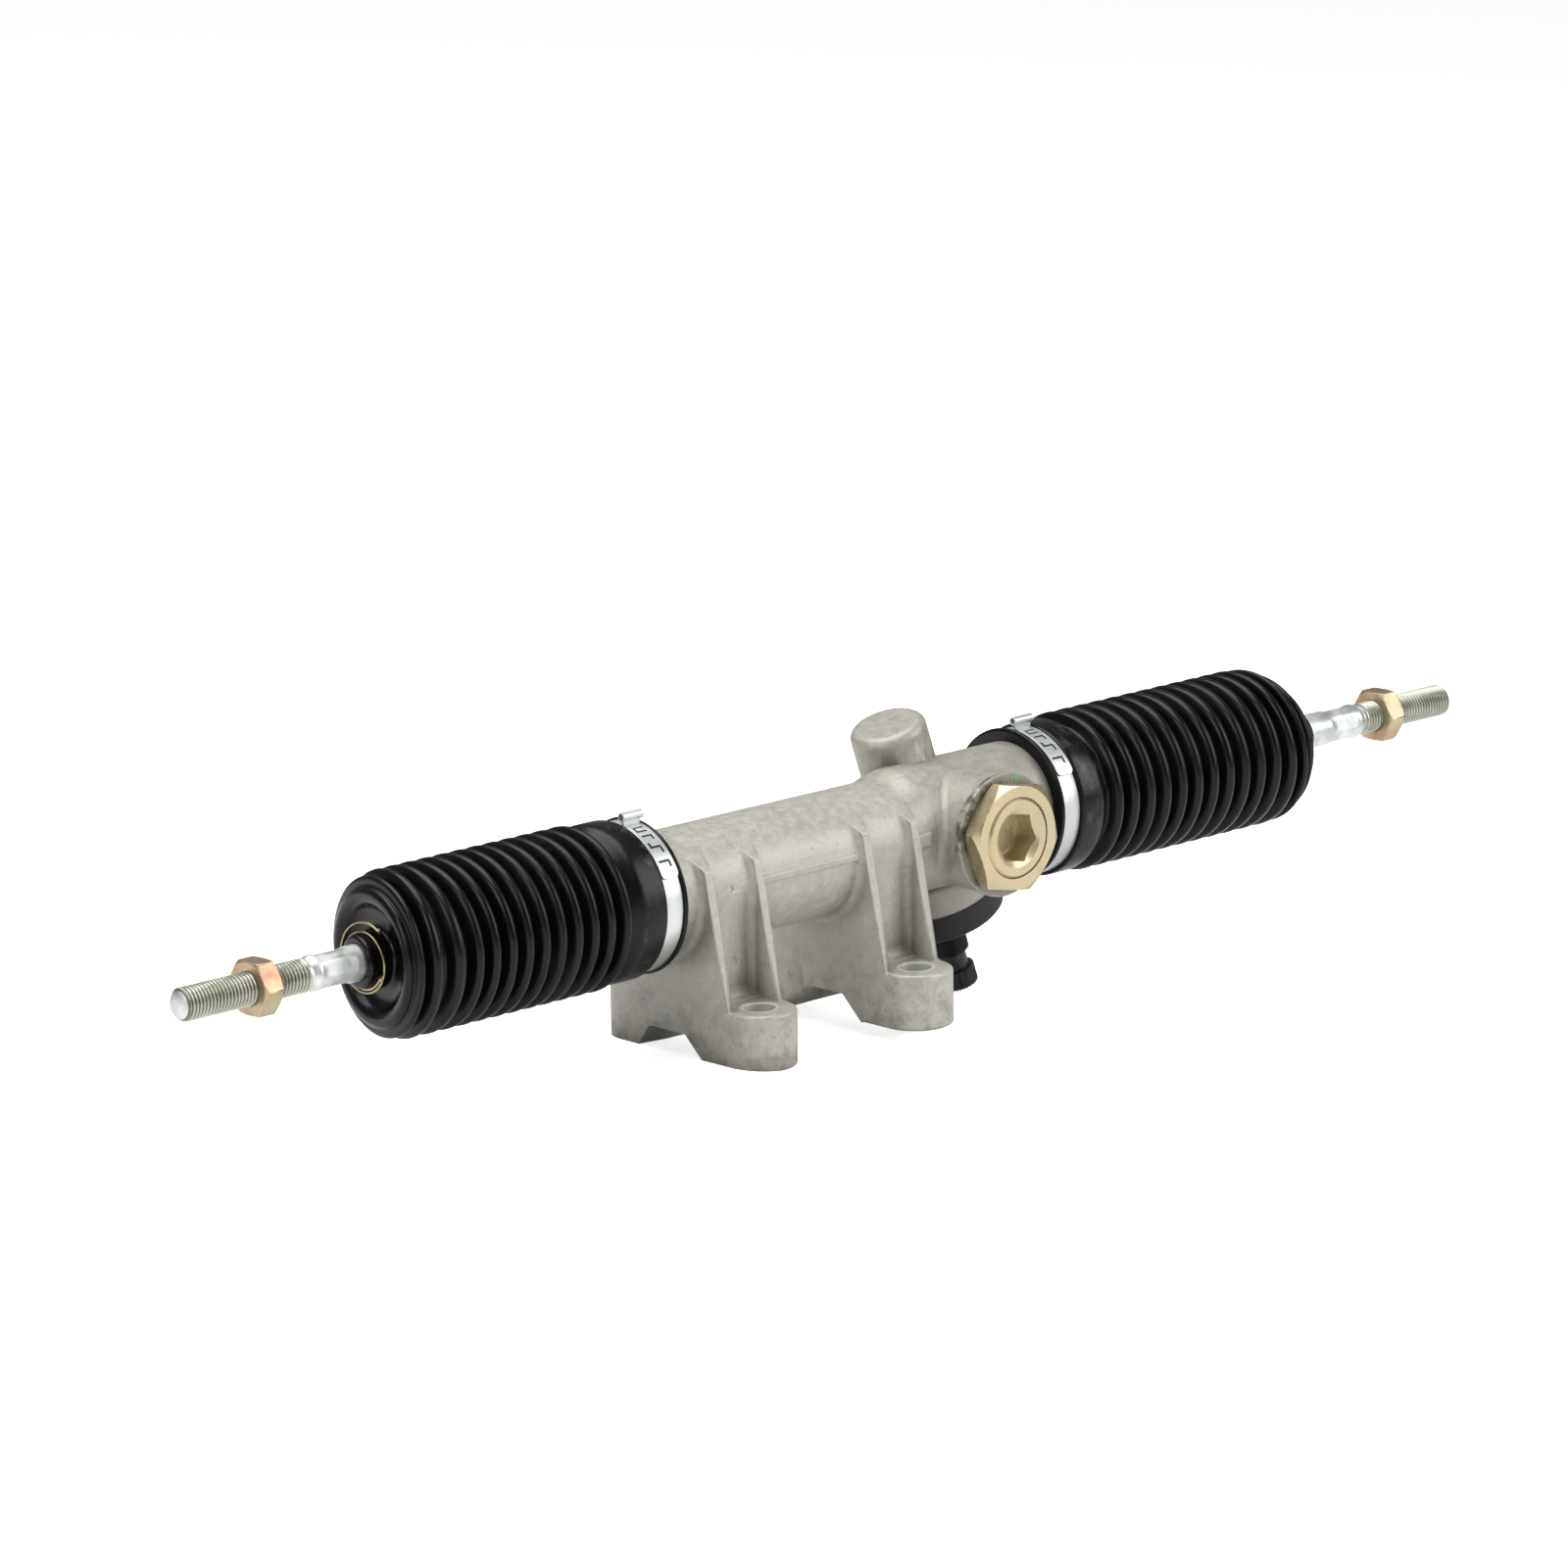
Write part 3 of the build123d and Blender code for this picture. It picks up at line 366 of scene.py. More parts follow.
def rod_metal(name, look):
    """Bright zinc on the shanks, greyer on the threads, and dirt where a groove is deep: the groove
    is known by its distance from the rack's axis."""
    material, tree, place = blank(name)
    broad = noise(tree, place, 110.0, 5.0, 0.65)
    threaded = outboard_slab(tree, place, 0.4 * MM, {
        side: (this["shank"] + 1.5, this["tip"] - 0.5) for side, this in RODS.items()
    })
    off = [math(tree, "SUBTRACT", coordinate(tree, place, axis), centre)
           for axis, centre in (("Y", RACK.y), ("Z", RACK.z))]
    groove = ramp(tree, length_of(tree, *off), THREAD_R - 0.1 * MM, THREAD_R - 0.6 * MM)
    bright = ramp(tree, broad, 0.38, 0.62)
    shank = mix(tree, bright, look.zinc_dull, look.zinc)
    thread = mix(tree, bright, look.thread_dull, look.thread)
    return finished(material, {
        "Base Color": mix(
            tree, times(tree, threaded, groove), mix(tree, threaded, shank, thread), look.groove
        ),
        "Metallic": 0.75, "Normal": raised(tree, 0.02 * MM, noise(tree, place, 700.0)),
        "Roughness": ramp(tree, broad, 0.3, 0.7, 0.34, 0.52),
    })


def rubber(name, tint, dust, roughness=0.27):
    """Black rubber with a soft gloss, greyer where dust has been smeared on it, most of all on the
    smooth cuffs beside the clamps."""
    material, tree, place = blank(name)
    smear = noise(tree, place, 26.0, 6.0, 0.6, (2.5, 1, 1))
    cuffs = outboard_slab(tree, place, 2 * MM, {
        side: (this["first"] - 14, this["first"] - 5) for side, this in BELLOWS.items()
    })
    streaks = ramp(tree, noise(tree, place, 75.0, 7.0, 0.7, (1.6, 1, 1)), 0.54, 0.74)
    anywhere = ramp(tree, smear, 0.62, 0.82, 0.0, 0.35)
    share = math(tree, "MAXIMUM", anywhere, times(tree, cuffs, streaks))
    return finished(material, {
        "Base Color": mix(tree, share, tint, dust),
        "Roughness": ramp(tree, smear, 0.4, 0.75, roughness * 0.85, roughness * 1.5),
        "Normal": raised(tree, 0.03 * MM, noise(tree, place, 700.0, 3.0)),
        "Specular IOR Level": 0.24,
    })


def plastic(name, tint, other, roughness=0.45, gloss=0.5):
    """Plain polymer or paint with a slight unevenness."""
    material, tree, place = blank(name)
    broad = noise(tree, place, 60.0)
    return finished(material, {
        "Base Color": mix(tree, ramp(tree, broad, 0.35, 0.7), tint, other),
        "Roughness": ramp(tree, broad, 0.3, 0.7, roughness * 0.85, roughness * 1.2),
        "Specular IOR Level": gloss,
    })


def assign(piece, material):
    """Gives a piece one material."""
    piece.data.materials.clear()
    piece.data.materials.append(material)
    for slot in piece.material_slots:
        slot.material = material


# ---- settings
def length(name, text, default, low=0.0, high=1.0):
    """A length property in metres."""
    return bpy.props.FloatProperty(
        name=name, description=text, default=default, min=low, max=high, unit="LENGTH", precision=5
    )


def colour(name, text, default):
    """A colour property."""
    return bpy.props.FloatVectorProperty(
        name=name, description=text, default=default, size=3, min=0, max=1, subtype="COLOR"
    )


def turn(name, text, degrees):
    """An angle property, given in degrees."""
    return bpy.props.FloatProperty(
        name=name, description=text, default=radians(degrees), subtype="ANGLE"
    )


class BellowsSettings(bpy.types.PropertyGroup):
    """Sizes of the rubber bellows."""

    ridge: length("Ridge radius", "Radius over the pleats", width_of("left_boot") / 2)
    valley: length("Valley radius", "Radius between the pleats", 24.6 * MM)
    wall: length("Wall", "Thickness of the rubber", 1.8 * MM)
    lip: length("Lip radius", "Radius of the lip beside the clamp", 28.2 * MM)
    cuff: length("Cuff radius", "Radius of the smooth cuff beside the clamp", 28.7 * MM)
    fillet: length("Rounding", "Rounding of crowns and edges", 1.7 * MM)


class HardwareSettings(bpy.types.PropertyGroup):
    """Sizes of clamps, clips and rods."""

    strap: length("Strap", "Thickness of the clamp's sheet", 0.7 * MM)
    ear_height: length("Ear height", "Height of the clamp's ear over the band", 5.0 * MM)
    roll: length("Ear roll", "Outer radius of the ear's rolled eye", 1.6 * MM)
    wire: length("Clip wire", "Thickness of the clip's wire", 1.0 * MM)
    clip_turns: bpy.props.FloatProperty(
        name="Clip turns", description="Turns of wire in a neck clip", default=1.8, min=1, max=4
    )
    thread_pitch: length("Thread pitch", "Distance between the rod's threads", 1.5 * MM)
    thread_depth: length("Thread depth", "Depth of the rod's threads", 0.72 * MM)


class FinishSettings(bpy.types.PropertyGroup):
    """Colours of the finishes, as linear values."""

    cast_light: colour("Cast, light", "Clean raw aluminium", (0.44, 0.425, 0.38))
    cast_dark: colour("Cast, dark", "Dull patches of it", (0.355, 0.343, 0.303))
    # the pits' colour is also the painted shade in the casting's hollows and over its right half
    cast_pit_and_shade: colour("Cast, pits", "Pits in the casting's skin", (0.17, 0.16, 0.13))
    cast_rub: colour("Cast, rubbed", "Edges and specks rubbed bright", (0.62, 0.60, 0.54))
    paint: colour("Marking paint", "Green fleck on the boss", (0.13, 0.36, 0.28))
    stain: colour("Stain", "Dirt near the feet", (0.10, 0.085, 0.065))
    rubber: colour("Rubber", "Black rubber", (0.0018, 0.0018, 0.0019))
    dust: colour("Dust", "Grey dust on rubber", (0.065, 0.065, 0.066))
    zinc: colour("Zinc", "Bright zinc plating", (0.72, 0.74, 0.72))
    zinc_dull: colour("Zinc, dull", "Greyed zinc plating", (0.46, 0.49, 0.47))
    thread: colour("Thread", "Threads' crests", (0.58, 0.58, 0.50))
    thread_dull: colour("Thread, dull", "Threads' crests, greyed", (0.44, 0.44, 0.37))
    groove: colour("Groove", "Dirt in the threads' grooves", (0.13, 0.13, 0.10))
    gold: colour("Gold zinc", "Pale yellow chromate", (0.55, 0.45, 0.28))
    gold_dull: colour("Gold zinc, green", "Greenish yellow chromate", (0.45, 0.41, 0.26))
    pink: colour("Iridescent zinc", "Pink tone of the jam nuts", (0.38, 0.20, 0.13))
    brass: colour("Brass", "Clip wire", (0.50, 0.41, 0.24))
    black: colour("Black", "Black paint and oxide", (0.008, 0.008, 0.009))
    black_worn: colour("Black, worn", "Greyed black paint", (0.02, 0.02, 0.02))


class StageSettings(bpy.types.PropertyGroup):
    """Camera and lights."""

    azimuth: turn("Azimuth", "Turn of the line of sight from +Y towards +X", 43.272)
    elevation: turn("Elevation", "Fall of the line of sight", 13.287)
    roll: turn("Roll", "Turn of the picture about the line of sight", -0.98)
    distance: length("Distance", "From the camera to the yoke axis", 3.0325, high=10)
    aside: length("Aside", "Camera's place right of the yoke axis", 0.0569, -1)
    above: length("Above", "Camera's place above the yoke axis", -0.0142, -1)
    lens: bpy.props.FloatProperty(
        name="Lens", description="Focal length for a 36 mm picture", default=191.6, unit="CAMERA"
    )


# ---- bellows
# Outboard distances and radii in millimetres. "folds" are (crown radius, next valley's distance,
# its radius) of the smaller folds beyond the even pleats; "end" runs from the last of them to the
# neck outside, "back" inside. "cuts" are the valley numbers where the bellows is divided. "lean"
# is how far the end face is pushed outboard, per length towards -Y and towards -Z.
BELLOWS = {
    "left": {
        "first": 176.0, "last": 267.0, "pleats": 12, "cuts": (0, 1, 7, 8, 10, 12), "folds": (),
        "end": ((268.2, 28.4), (270.6, 28.2), (270.9, 24.4), (272.4, 24.8), (273.8, 22.6),
                (273.0, 19.4), (269.6, 17.2), (268.4, 13.2), (269.2, 9.4), (279.8, 9.4),
                (279.8, 6.8)),
        "back": ((268.8, 26.4), (269.4, 26.0), (269.6, 22.6), (271.6, 22.0), (271.2, 20.6),
                 (267.8, 18.4), (266.6, 13.6), (266.6, 6.8)),
        "lean": (0.15, 0.0),
    },
    "right": {
        "first": 60.0, "last": 161.0, "pleats": 12, "cuts": (0, 1, 9, 10, 12, 15),
        "folds": ((29.2, 166.4, 24.4), (26.8, 171.4, 21.4), (23.2, 175.6, 17.6)),
        "end": ((177.4, 17.0), (179.4, 12.6), (181.6, 9.4), (189.5, 9.2), (189.5, 6.8)),
        "back": ((176.6, 15.0), (178.0, 11.2), (180.2, 7.4), (181.0, 6.8)),
        "lean": (0.0, 0.06),
    },
}
LEAN_ZONE = 17.0 * MM  # before the last even valley, where the lean sets in
TUBE_BORE = 23.8 * MM  # inner radius of the bellows on the housing's tube
BAND_SEAT = 26.5 * MM  # outer radius of the bellows under the clamp's band
BAND_GAP = 0.3 * MM  # kept free beside the band
CUFF_EDGE = 4.2 * MM  # from the cuff's outer edge to the first valley
CUFF_FLOOR = (8.0 * MM, 2.0 * MM)  # where the cuff's inner slope lies before that valley
PIECES = ("base", "pleats", "reach", "sweep", "swing")


def stations(side):
    """Outboard distances and radii of the valleys, and the crowns' radii, in metres."""
    this, size = BELLOWS[side], bpy.context.scene.rack_bellows
    crown, at, low = np.reshape(this["folds"], (-1, 3)).T * MM
    even = np.linspace(this["first"], this["last"], this["pleats"] + 1) * MM
    valley_at = np.concatenate([even, at])
    valley_r = np.concatenate([np.full(len(even), size.valley), low])
    crown_r = np.concatenate([np.full(this["pleats"], size.ridge), crown])
    return valley_at, valley_r, crown_r


def pleat_line(side, start, stop, inset):
    """Corners from one valley's middle to another's: half a valley floor, flank, crown, flank and
    half a floor for each pleat, all drawn in by inset."""
    at, valley, crown = stations(side)
    phase = np.array([0.10, 0.33, 0.67, 0.90])
    s = at[start:stop, None] + np.diff(at)[start:stop, None] * phase
    top, ends = crown[start:stop], valley[start:stop + 1]
    r = np.stack([ends[:-1], top, top, ends[1:]], 1)
    line = np.stack([s, r], -1).reshape(-1, 2)
    line = np.vstack([[at[start], ends[0]], line, [at[stop], ends[-1]]])
    return line - (0, inset)


def base_line(side):
    """Corners of the lip, the clamp's seat and the cuff up to the first valley, outside and in."""
    size = bpy.context.scene.rack_bellows
    lip = outboard_span(f"{side}_boot", side)[0]
    band = outboard_span(f"{side}_boot_clamp", side)
    start, stop = band[0] - BAND_GAP, band[1] + BAND_GAP
    first = BELLOWS[side]["first"] * MM
    outside = np.array([
        (lip, TUBE_BORE), (lip, size.lip), (start, size.lip), (start, BAND_SEAT),
        (stop, BAND_SEAT), (stop, size.cuff), (first - CUFF_EDGE, size.cuff),
    ])
    low, high = (first - before for before in CUFF_FLOOR)
    return outside, np.array([(low, TUBE_BORE), (high, size.valley - size.wall)])


def bellows_piece(side, number):
    """One stretch of bellows: a closed ring of rubber between two cuts, turned about the rack."""
    this, size = BELLOWS[side], bpy.context.scene.rack_bellows
    start, stop = this["cuts"][number], this["cuts"][number + 1]
    last = number == len(PIECES) - 1
    stop = len(stations(side)[0]) - 1 if last else stop
    outside, inside = (pleat_line(side, start, stop, inset) for inset in (0, size.wall))
    if number == 0:
        front, back = base_line(side)
        outside, inside = np.vstack([front, outside[1:]]), np.vstack([back, inside])
    if last:
        outside = np.vstack([outside, np.array(this["end"]) * MM])
        inside = np.vstack([inside, np.array(this["back"]) * MM])
    profile = np.vstack([rounded(outside, size.fillet), rounded(inside[::-1], size.fillet)])
    points = leaned(round_rack(profile, side, 128), side)
    return surface(f"{side}_bellows_{PIECES[number]}", points, True, True, sharp=60)


def leaned(points, side):
    """Points moved outboard by w (a y + b z), y and z measured from the axis towards -Y and -Z,
    where w is the smooth step over the zone before the last even valley."""
    s = SIDES[side] * (points[..., 0] - YOKE_X)
    share = smooth(1 + (s - BELLOWS[side]["last"] * MM) / LEAN_ZONE)
    off = (np.array(RACK.yz) - points[..., 1:]) @ BELLOWS[side]["lean"]
    moved = points.copy()
    moved[..., 0] += SIDES[side] * share * off
    return moved


def even_share(short, long):
    """Share t of the smooth step 3t^2 - 2t^3 that a short end stretch takes, so that its steepest
    slope 6t(1-t) t/short equals the long middle stretch's 1.5 (1-2t)/long."""
    t = np.linspace(0.01, 0.45, 4401)
    return t[np.argmin(np.abs(6 * t**2 * (1 - t) / short - 1.5 * (1 - 2 * t) / long))]


def blend_zones(side):
    """For each stretch: the two bodies, and where its smooth step starts and stops, outboard."""
    at, this = stations(side)[0], BELLOWS[side]
    a, b, c, d, e, f = (at[k] for k in this["cuts"])
    t = even_share(b - a, c - b)
    short, long = (b - a) / t, (c - b) / (1 - 2 * t)
    seat, rod = f"{side}_seat", f"{side}_rod"
    return (
        ("housing_body", "rack", a, a + short),
        ("housing_body", "rack", b - t * long, b - t * long + long),
        ("housing_body", "rack", d - short, d),
        ("rack", seat, d, e),
        (seat, rod, e, f),
    )


def on_axis(side, s):
    """The rack axis's point at an outboard distance."""
    return (YOKE_X + SIDES[side] * s, RACK.y, RACK.z)


class RACK_OT_bellows(bpy.types.Operator):
    """Make both rubber bellows, each in five stretches that join where a valley is deepest"""

    bl_idname = "rack.bellows"
    bl_label = "Bellows"

    def execute(self, context):
        look = context.scene.rack_finish
        finish = rubber("black_rubber", look.rubber, look.dust)
        for side in SIDES:
            for number, (first, second, start, stop) in enumerate(blend_zones(side)):
                piece = bellows_piece(side, number)
                assign(piece, finish)
                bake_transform(piece)
                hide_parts(f"{side}_boot")
        return {"FINISHED"}


# ---- clamps and clips
EAR_ANGLE = {"left": radians(101), "right": radians(94)}
TONGUE_END = {"left": radians(156), "right": radians(150)}
# punched slots of the tongue: (first, last) degrees past the ear, (low, high) share of its width
SLOTS = (
    ((6.0, 7.8), (0.18, 0.80)), ((7.8, 11.0), (0.18, 0.30)), ((11.0, 12.8), (0.18, 0.80)),
    ((16.5, 18.5), (0.18, 0.80)), ((18.5, 22.0), (0.66, 0.80)), ((24.5, 30.0), (0.14, 0.30)),
    ((28.0, 30.0), (0.30, 0.80)), ((30.0, 34.5), (0.66, 0.80)), ((40.5, 42.5), (0.15, 0.80)),
    ((42.5, 46.5), (0.68, 0.80)),
)
BAND_R = 26.55 * MM  # inner radius of the clamps' bands
LAP = 1.75  # tongue's middle over that radius, in straps
SHADOW_LAP = 2.0  # and the middle of the dark patches of painted shadow in the slots
TIP_ARC = radians(4.5)  # arc over which the tongue's tip is rounded
TIP_SHARE = 0.55  # of the width, left where the tip ends
EAR_ROOT = radians(4)  # arc of the ear's foot on the tongue
EAR_BACK = 0.02  # radians that the ear leans back
EAR_FLARE = 0.22  # share of the width that its top gains


def hardware():
    """The sizes of clamps, clips and rods."""
    return bpy.context.scene.rack_hardware


def band_middle(side):
    """Outboard distance of the middle of the clamp's band, and its width."""
    a, b = outboard_span(f"{side}_boot_clamp", side)
    return (a + b) / 2, b - a


def band_piece(side):
    """The clamp's closed band: a flat rectangle with eased edges, turned about the rack."""
    strap = hardware().strap
    a, b = outboard_span(f"{side}_boot_clamp", side)
    start = ((a + b) / 2, BAND_R)
    corners = [start, (a, BAND_R), (a, BAND_R + strap), (b, BAND_R + strap), (b, BAND_R), start]
    profile = rounded(corners, 0.3 * strap, 3)[:-1]
    return surface(f"{side}_clamp_band", round_rack(profile, side, 160), True, True)


def tongue_grid(side, radius):
    """Grid of the band's lapped end: a curved strip whose half width follows the circle
    sqrt(1 - q^2) near the tip. Also says which of its cells are slots."""
    centre, width = band_middle(side)
    start, stop = EAR_ANGLE[side], TONGUE_END[side]
    angle = np.linspace(start, stop, 257)[:, None]
    share = np.linspace(0, 1, 57)
    q = np.clip((angle - stop + TIP_ARC) / TIP_ARC, 0, 1)
    half = width / 2 * (TIP_SHARE + (1 - TIP_SHARE) * np.sqrt(1 - q**2))
    points = around(side, centre + half * (2 * share - 1), radius, angle)
    past = np.degrees((angle[1:] + angle[:-1]) / 2 - start)
    across = (share[1:] + share[:-1]) / 2
    across = across if side == "right" else 1 - across
    slots = np.zeros((len(past), len(across)), bool)
    for (first, last), (low, high) in SLOTS:
        slots |= (past > first) & (past < last) & (across > low) & (across < high)
    return points, slots


def walled(piece, thickness):
    """Gives a sheet its thickness, half on each side."""
    wall = piece.modifiers.new("wall", "SOLIDIFY")
    wall.thickness, wall.offset = thickness, 0
    return piece


def tongue_piece(side):
    """The band's free end, lapped over it, with its slots left out of the grid."""
    strap = hardware().strap
    points, slots = tongue_grid(side, BAND_R + LAP * strap)
    return walled(surface(f"{side}_clamp_tongue", points, keep=~slots), strap)


def slot_shadow_piece(side):
    """The dark patches seen through the slots, one per slot: painted shadow where the slots open
    onto shade.
    """
    strap = hardware().strap
    points, slots = tongue_grid(side, BAND_R + SHADOW_LAP * strap)
    return walled(surface(f"{side}_clamp_slot_shadow", points, keep=slots), 0.4 * strap)


def eye_centre(side):
    """Radius and angle of the middle of the ear's rolled eye."""
    size = hardware()
    away = BAND_R + LAP * size.strap + size.ear_height - size.roll
    return away, EAR_ANGLE[side] - EAR_BACK


def ear_piece(side):
    """The raised ear: a sheet that leaves the band over its foot and stands up square to it, its
    half width growing by the flare times the square of its height."""
    strap = hardware().strap
    centre, width = band_middle(side)
    t = np.linspace(0, 1, 25)[:, None]
    foot, rise = np.clip(0.4 - t, 0, 1) / 0.4, np.clip((t - 0.4) / 0.6, 0, 1)
    s = centre + width / 2 * (1 + EAR_FLARE * rise**2) * np.linspace(-1, 1, 25)
    root = BAND_R + LAP * strap
    away = root + (eye_centre(side)[0] - root) * rise
    points = around(side, s, away, EAR_ANGLE[side] + EAR_ROOT * foot - EAR_BACK * rise)
    return walled(surface(f"{side}_clamp_ear", points, sharp=70), strap)


def round_bar(name, side, width, outer, inner):
    """A tube or bar in the ear's eye: a rectangle between two radii, turned about its middle."""
    away, at = eye_centre(side)
    s = band_middle(side)[0] + width / 2 * np.array([-1, 1, 1, -1])
    r = np.array([inner, inner, outer, outer])[:, None]
    a = circle(32)
    points = np.stack(np.broadcast_arrays(
        (YOKE_X + SIDES[side] * s)[:, None], RACK.y + away * cos(at) + r * np.cos(a),
        RACK.z + away * sin(at) + r * np.sin(a),
    ), -1)
    return surface(name, points, True, True, sharp=30)


def eye_pieces(side):
    """The ear's rolled eye, and a dark bar inside it: painted shade in the eye's hollow."""
    width, roll = band_middle(side)[1], hardware().roll
    eye = round_bar(f"{side}_clamp_eye", side, (1 + EAR_FLARE) * width, roll, 0.62 * roll)
    # painted shade: a dark bar that fills the rolled eye's hollow
    eye_shadow = round_bar(f"{side}_clamp_eye_shadow", side, 1.20 * width, 0.6 * roll, 0.0)
    return eye, eye_shadow


class RACK_OT_clamps(bpy.types.Operator):
    """Make both band clamps: band, lapped tongue with punched slots, and ear"""

    bl_idname = "rack.clamps"
    bl_label = "Clamps"

    def execute(self, context):
        look = context.scene.rack_finish
        finish = metal(
            "strap_zinc", look.zinc_dull, look.zinc, 0.36, metallic=0.6, grain=500.0, relief=0.01,
            edge=0.15, stretch=(0.3, 1, 1),
        )
        # painted shadow: one black finish for the dark patches in the slots and the dark bar in the
        # ear's eye
        dark = plastic("slot_and_eye_shadow", look.black, look.black_worn)
        for side in SIDES:
            eye, eye_shadow = eye_pieces(side)
            slot_shadow = slot_shadow_piece(side)
            for piece in (band_piece(side), tongue_piece(side), ear_piece(side), eye, eye_shadow, slot_shadow):
                assign(piece, dark if piece in (eye_shadow, slot_shadow) else finish)
                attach(piece, "housing_body")
                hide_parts(f"{side}_boot_clamp")
        return {"FINISHED"}


NECK_R = 9.4 * MM  # outer radius of the bellows' necks
CLIP_START = radians(200)
CLIP_STANDS = {"left": 3.4 * MM, "right": 0.6 * MM}  # how far a clip's loose turn stands away
CLIP_TAILS = {"left": 3.5 * MM, "right": 0.5 * MM}  # how far its ends leave the neck


def clip_piece(side):
    """Spring wire round the boot's neck: a flat helix, its second turn standing away from the neck,
    whose ends leave it outwards and outboard."""
    size, tail = hardware(), CLIP_TAILS[side]
    centre = sum(outboard_span(f"{side}_neck_clip", side)) / 2
    t = np.linspace(-0.05, 1.05, 221)
    angle = CLIP_START + 2 * pi * size.clip_turns * np.clip(t, 0, 1)
    past = np.maximum(np.abs(t - 0.5) - 0.5, 0) / 0.05
    stand = np.clip(2 * t - 0.9, 0, 1) * CLIP_STANDS[side]
    r = NECK_R + size.wire * 0.55 + stand + tail * past**1.5
    s = centre - (t - 0.5) * 1.2 * size.wire + 0.7 * tail * past
    points = wire(around(side, s, r, angle), size.wire / 2)
    return surface(f"{side}_clip_wire", points, wrap_v=True, sharp=70)


class RACK_OT_clips(bpy.types.Operator):
    """Make the two spring clips at the bellows' necks"""

    bl_idname = "rack.clips"
    bl_label = "Neck clips"

    def execute(self, context):
        look = context.scene.rack_finish
        dull = [0.5 * c for c in look.brass]
        finish = metal("brass_wire", dull, look.brass, 0.3, relief=0.005, edge=0.1)
        for side in SIDES:
            piece = clip_piece(side)
            assign(piece, finish)
            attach(piece, f"{side}_rod")
            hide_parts(f"{side}_neck_clip")
        return {"FINISHED"}


# ---- tie rods
# outboard distances in millimetres: ball centre, wrench flats' ends, shank's end and the tip
RODS = {
    "left": {"ball": 222.0, "flats": (284.2, 299.0), "shank": 302.5, "tip": 358.0},
    "right": {"ball": 134.0, "flats": (203.2, 218.0), "shank": 221.5, "tip": 270.0},
}
BALL_R, SHANK_NECK_R, ROD_R, FLAT_R = 10.0 * MM, 5.0 * MM, 6.5 * MM, 5.8 * MM
THREAD_R, RELIEF_R, TIP_R = 6.0 * MM, 5.3 * MM, 4.6 * MM  # crest, undercut, chamfered end
RELIEF = 1.2 * MM  # length of the undercut
SHANK_FROM_BALL = 20 * MM  # where the neck starts to widen
FLAT_ENDS = 2.5 * MM  # length over which a flat runs out


def rod_marks(side):
    """Outboard distances of the ball's centre, the shank's end and the tip, in metres."""
    return [RODS[side][key] * MM for key in ("ball", "shank", "tip")]


def rod_profile(side, s):
    """Radius along the rod: the ball's circle, a neck, a cone out to the shank, a cone in to the
    thread and the chamfered tip, each the least or the greatest of plain lines."""
    ball, shank, tip = rod_marks(side)
    sphere = np.sqrt(np.clip(BALL_R**2 - (s - ball) ** 2, 0, None))
    widening = np.clip(SHANK_NECK_R + (s - ball - SHANK_FROM_BALL) * 0.5, SHANK_NECK_R, ROD_R)
    bar = np.where(s > ball, widening, 0)
    cone = np.clip(RELIEF_R + (shank - s) * 0.55, RELIEF_R, ROD_R)
    thread = np.where(s > shank + RELIEF, THREAD_R, cone)
    end = np.maximum(TIP_R + tip - s, 0)
    return np.maximum(sphere, np.minimum(np.minimum(bar, thread), end))


def rod_piece(side):
    """Tie rod: the plain profile, less four flats whose radius is flat/cos(angle from its middle),
    less a thread whose depth follows a trapezoid wave of distance/pitch - angle/turn."""
    size = hardware()
    ball, shank, tip = rod_marks(side)
    s = np.concatenate([
        ball - BALL_R * np.cos(np.linspace(0, pi / 2, 16)), np.linspace(ball, shank, 180)[1:],
        np.linspace(shank, tip, int((tip - shank) / size.thread_pitch * 7))[1:],
    ])[:, None]
    angle = circle(72)
    r = np.broadcast_to(rod_profile(side, s), (len(s), len(angle)))
    low, high = (f * MM for f in RODS[side]["flats"])
    depth = np.clip(np.minimum(s - low, high - s) / FLAT_ENDS, 0, 1) ** 0.5
    flat = FLAT_R / np.cos((angle + radians(60)) % (pi / 2) - pi / 4)
    r = np.where((depth > 0) & (flat < r), r + (flat - r) * depth, r)
    wave = np.abs(2 * ((s / size.thread_pitch - angle / (2 * pi)) % 1) - 1)
    fade = np.clip((s - shank - RELIEF) / (2 * MM), 0, 1)
    groove = np.clip(1.25 * wave - 0.12, 0, 1) * size.thread_depth * fade
    r = np.where(s > shank, np.minimum(r, np.maximum(THREAD_R - groove, 0)), r)
    points = around(side, s, r, angle)
    closed = np.concatenate([points, np.broadcast_to(on_axis(side, tip), points[:1].shape)])
    return surface(f"{side}_threaded_rod", closed, wrap_v=True, sharp=50)


class RACK_OT_rods(bpy.types.Operator):
    """Make both tie rods with wrench flats and a real helical thread"""

    bl_idname = "rack.rods"
    bl_label = "Tie rods"

    def execute(self, context):
        look = context.scene.rack_finish
        finish = rod_metal("bright_zinc", look)
        for side in SIDES:
            piece = rod_piece(side)
            assign(piece, finish)
            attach(piece, f"{side}_rod")
            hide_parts(f"{side}_tie_rod")
        return {"FINISHED"}


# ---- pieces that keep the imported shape
TUBE_DROP, TUBE_R = 3.3 * MM, 23.5 * MM  # how much lower the tube's top lies; its radius
DROP_START, DROP_STOP = 4 * MM, (-34 * MM, -24 * MM)  # where the drop sets in and fades out
DROP_CUTS = (*range(-150, -145), *range(-34, -23, 2))  # new edges across the tube, in millimetres
DROP_DEPTH = (18 * MM, 22 * MM)  # distance from the axis over which the drop grows
DROP_TOP = (34 * MM, 26 * MM)  # height over the axis where it fades out


def between(value, span):
    """The smooth step from the first to the second place of a span."""
    return smooth((value - span[0]) / (span[1] - span[0]))


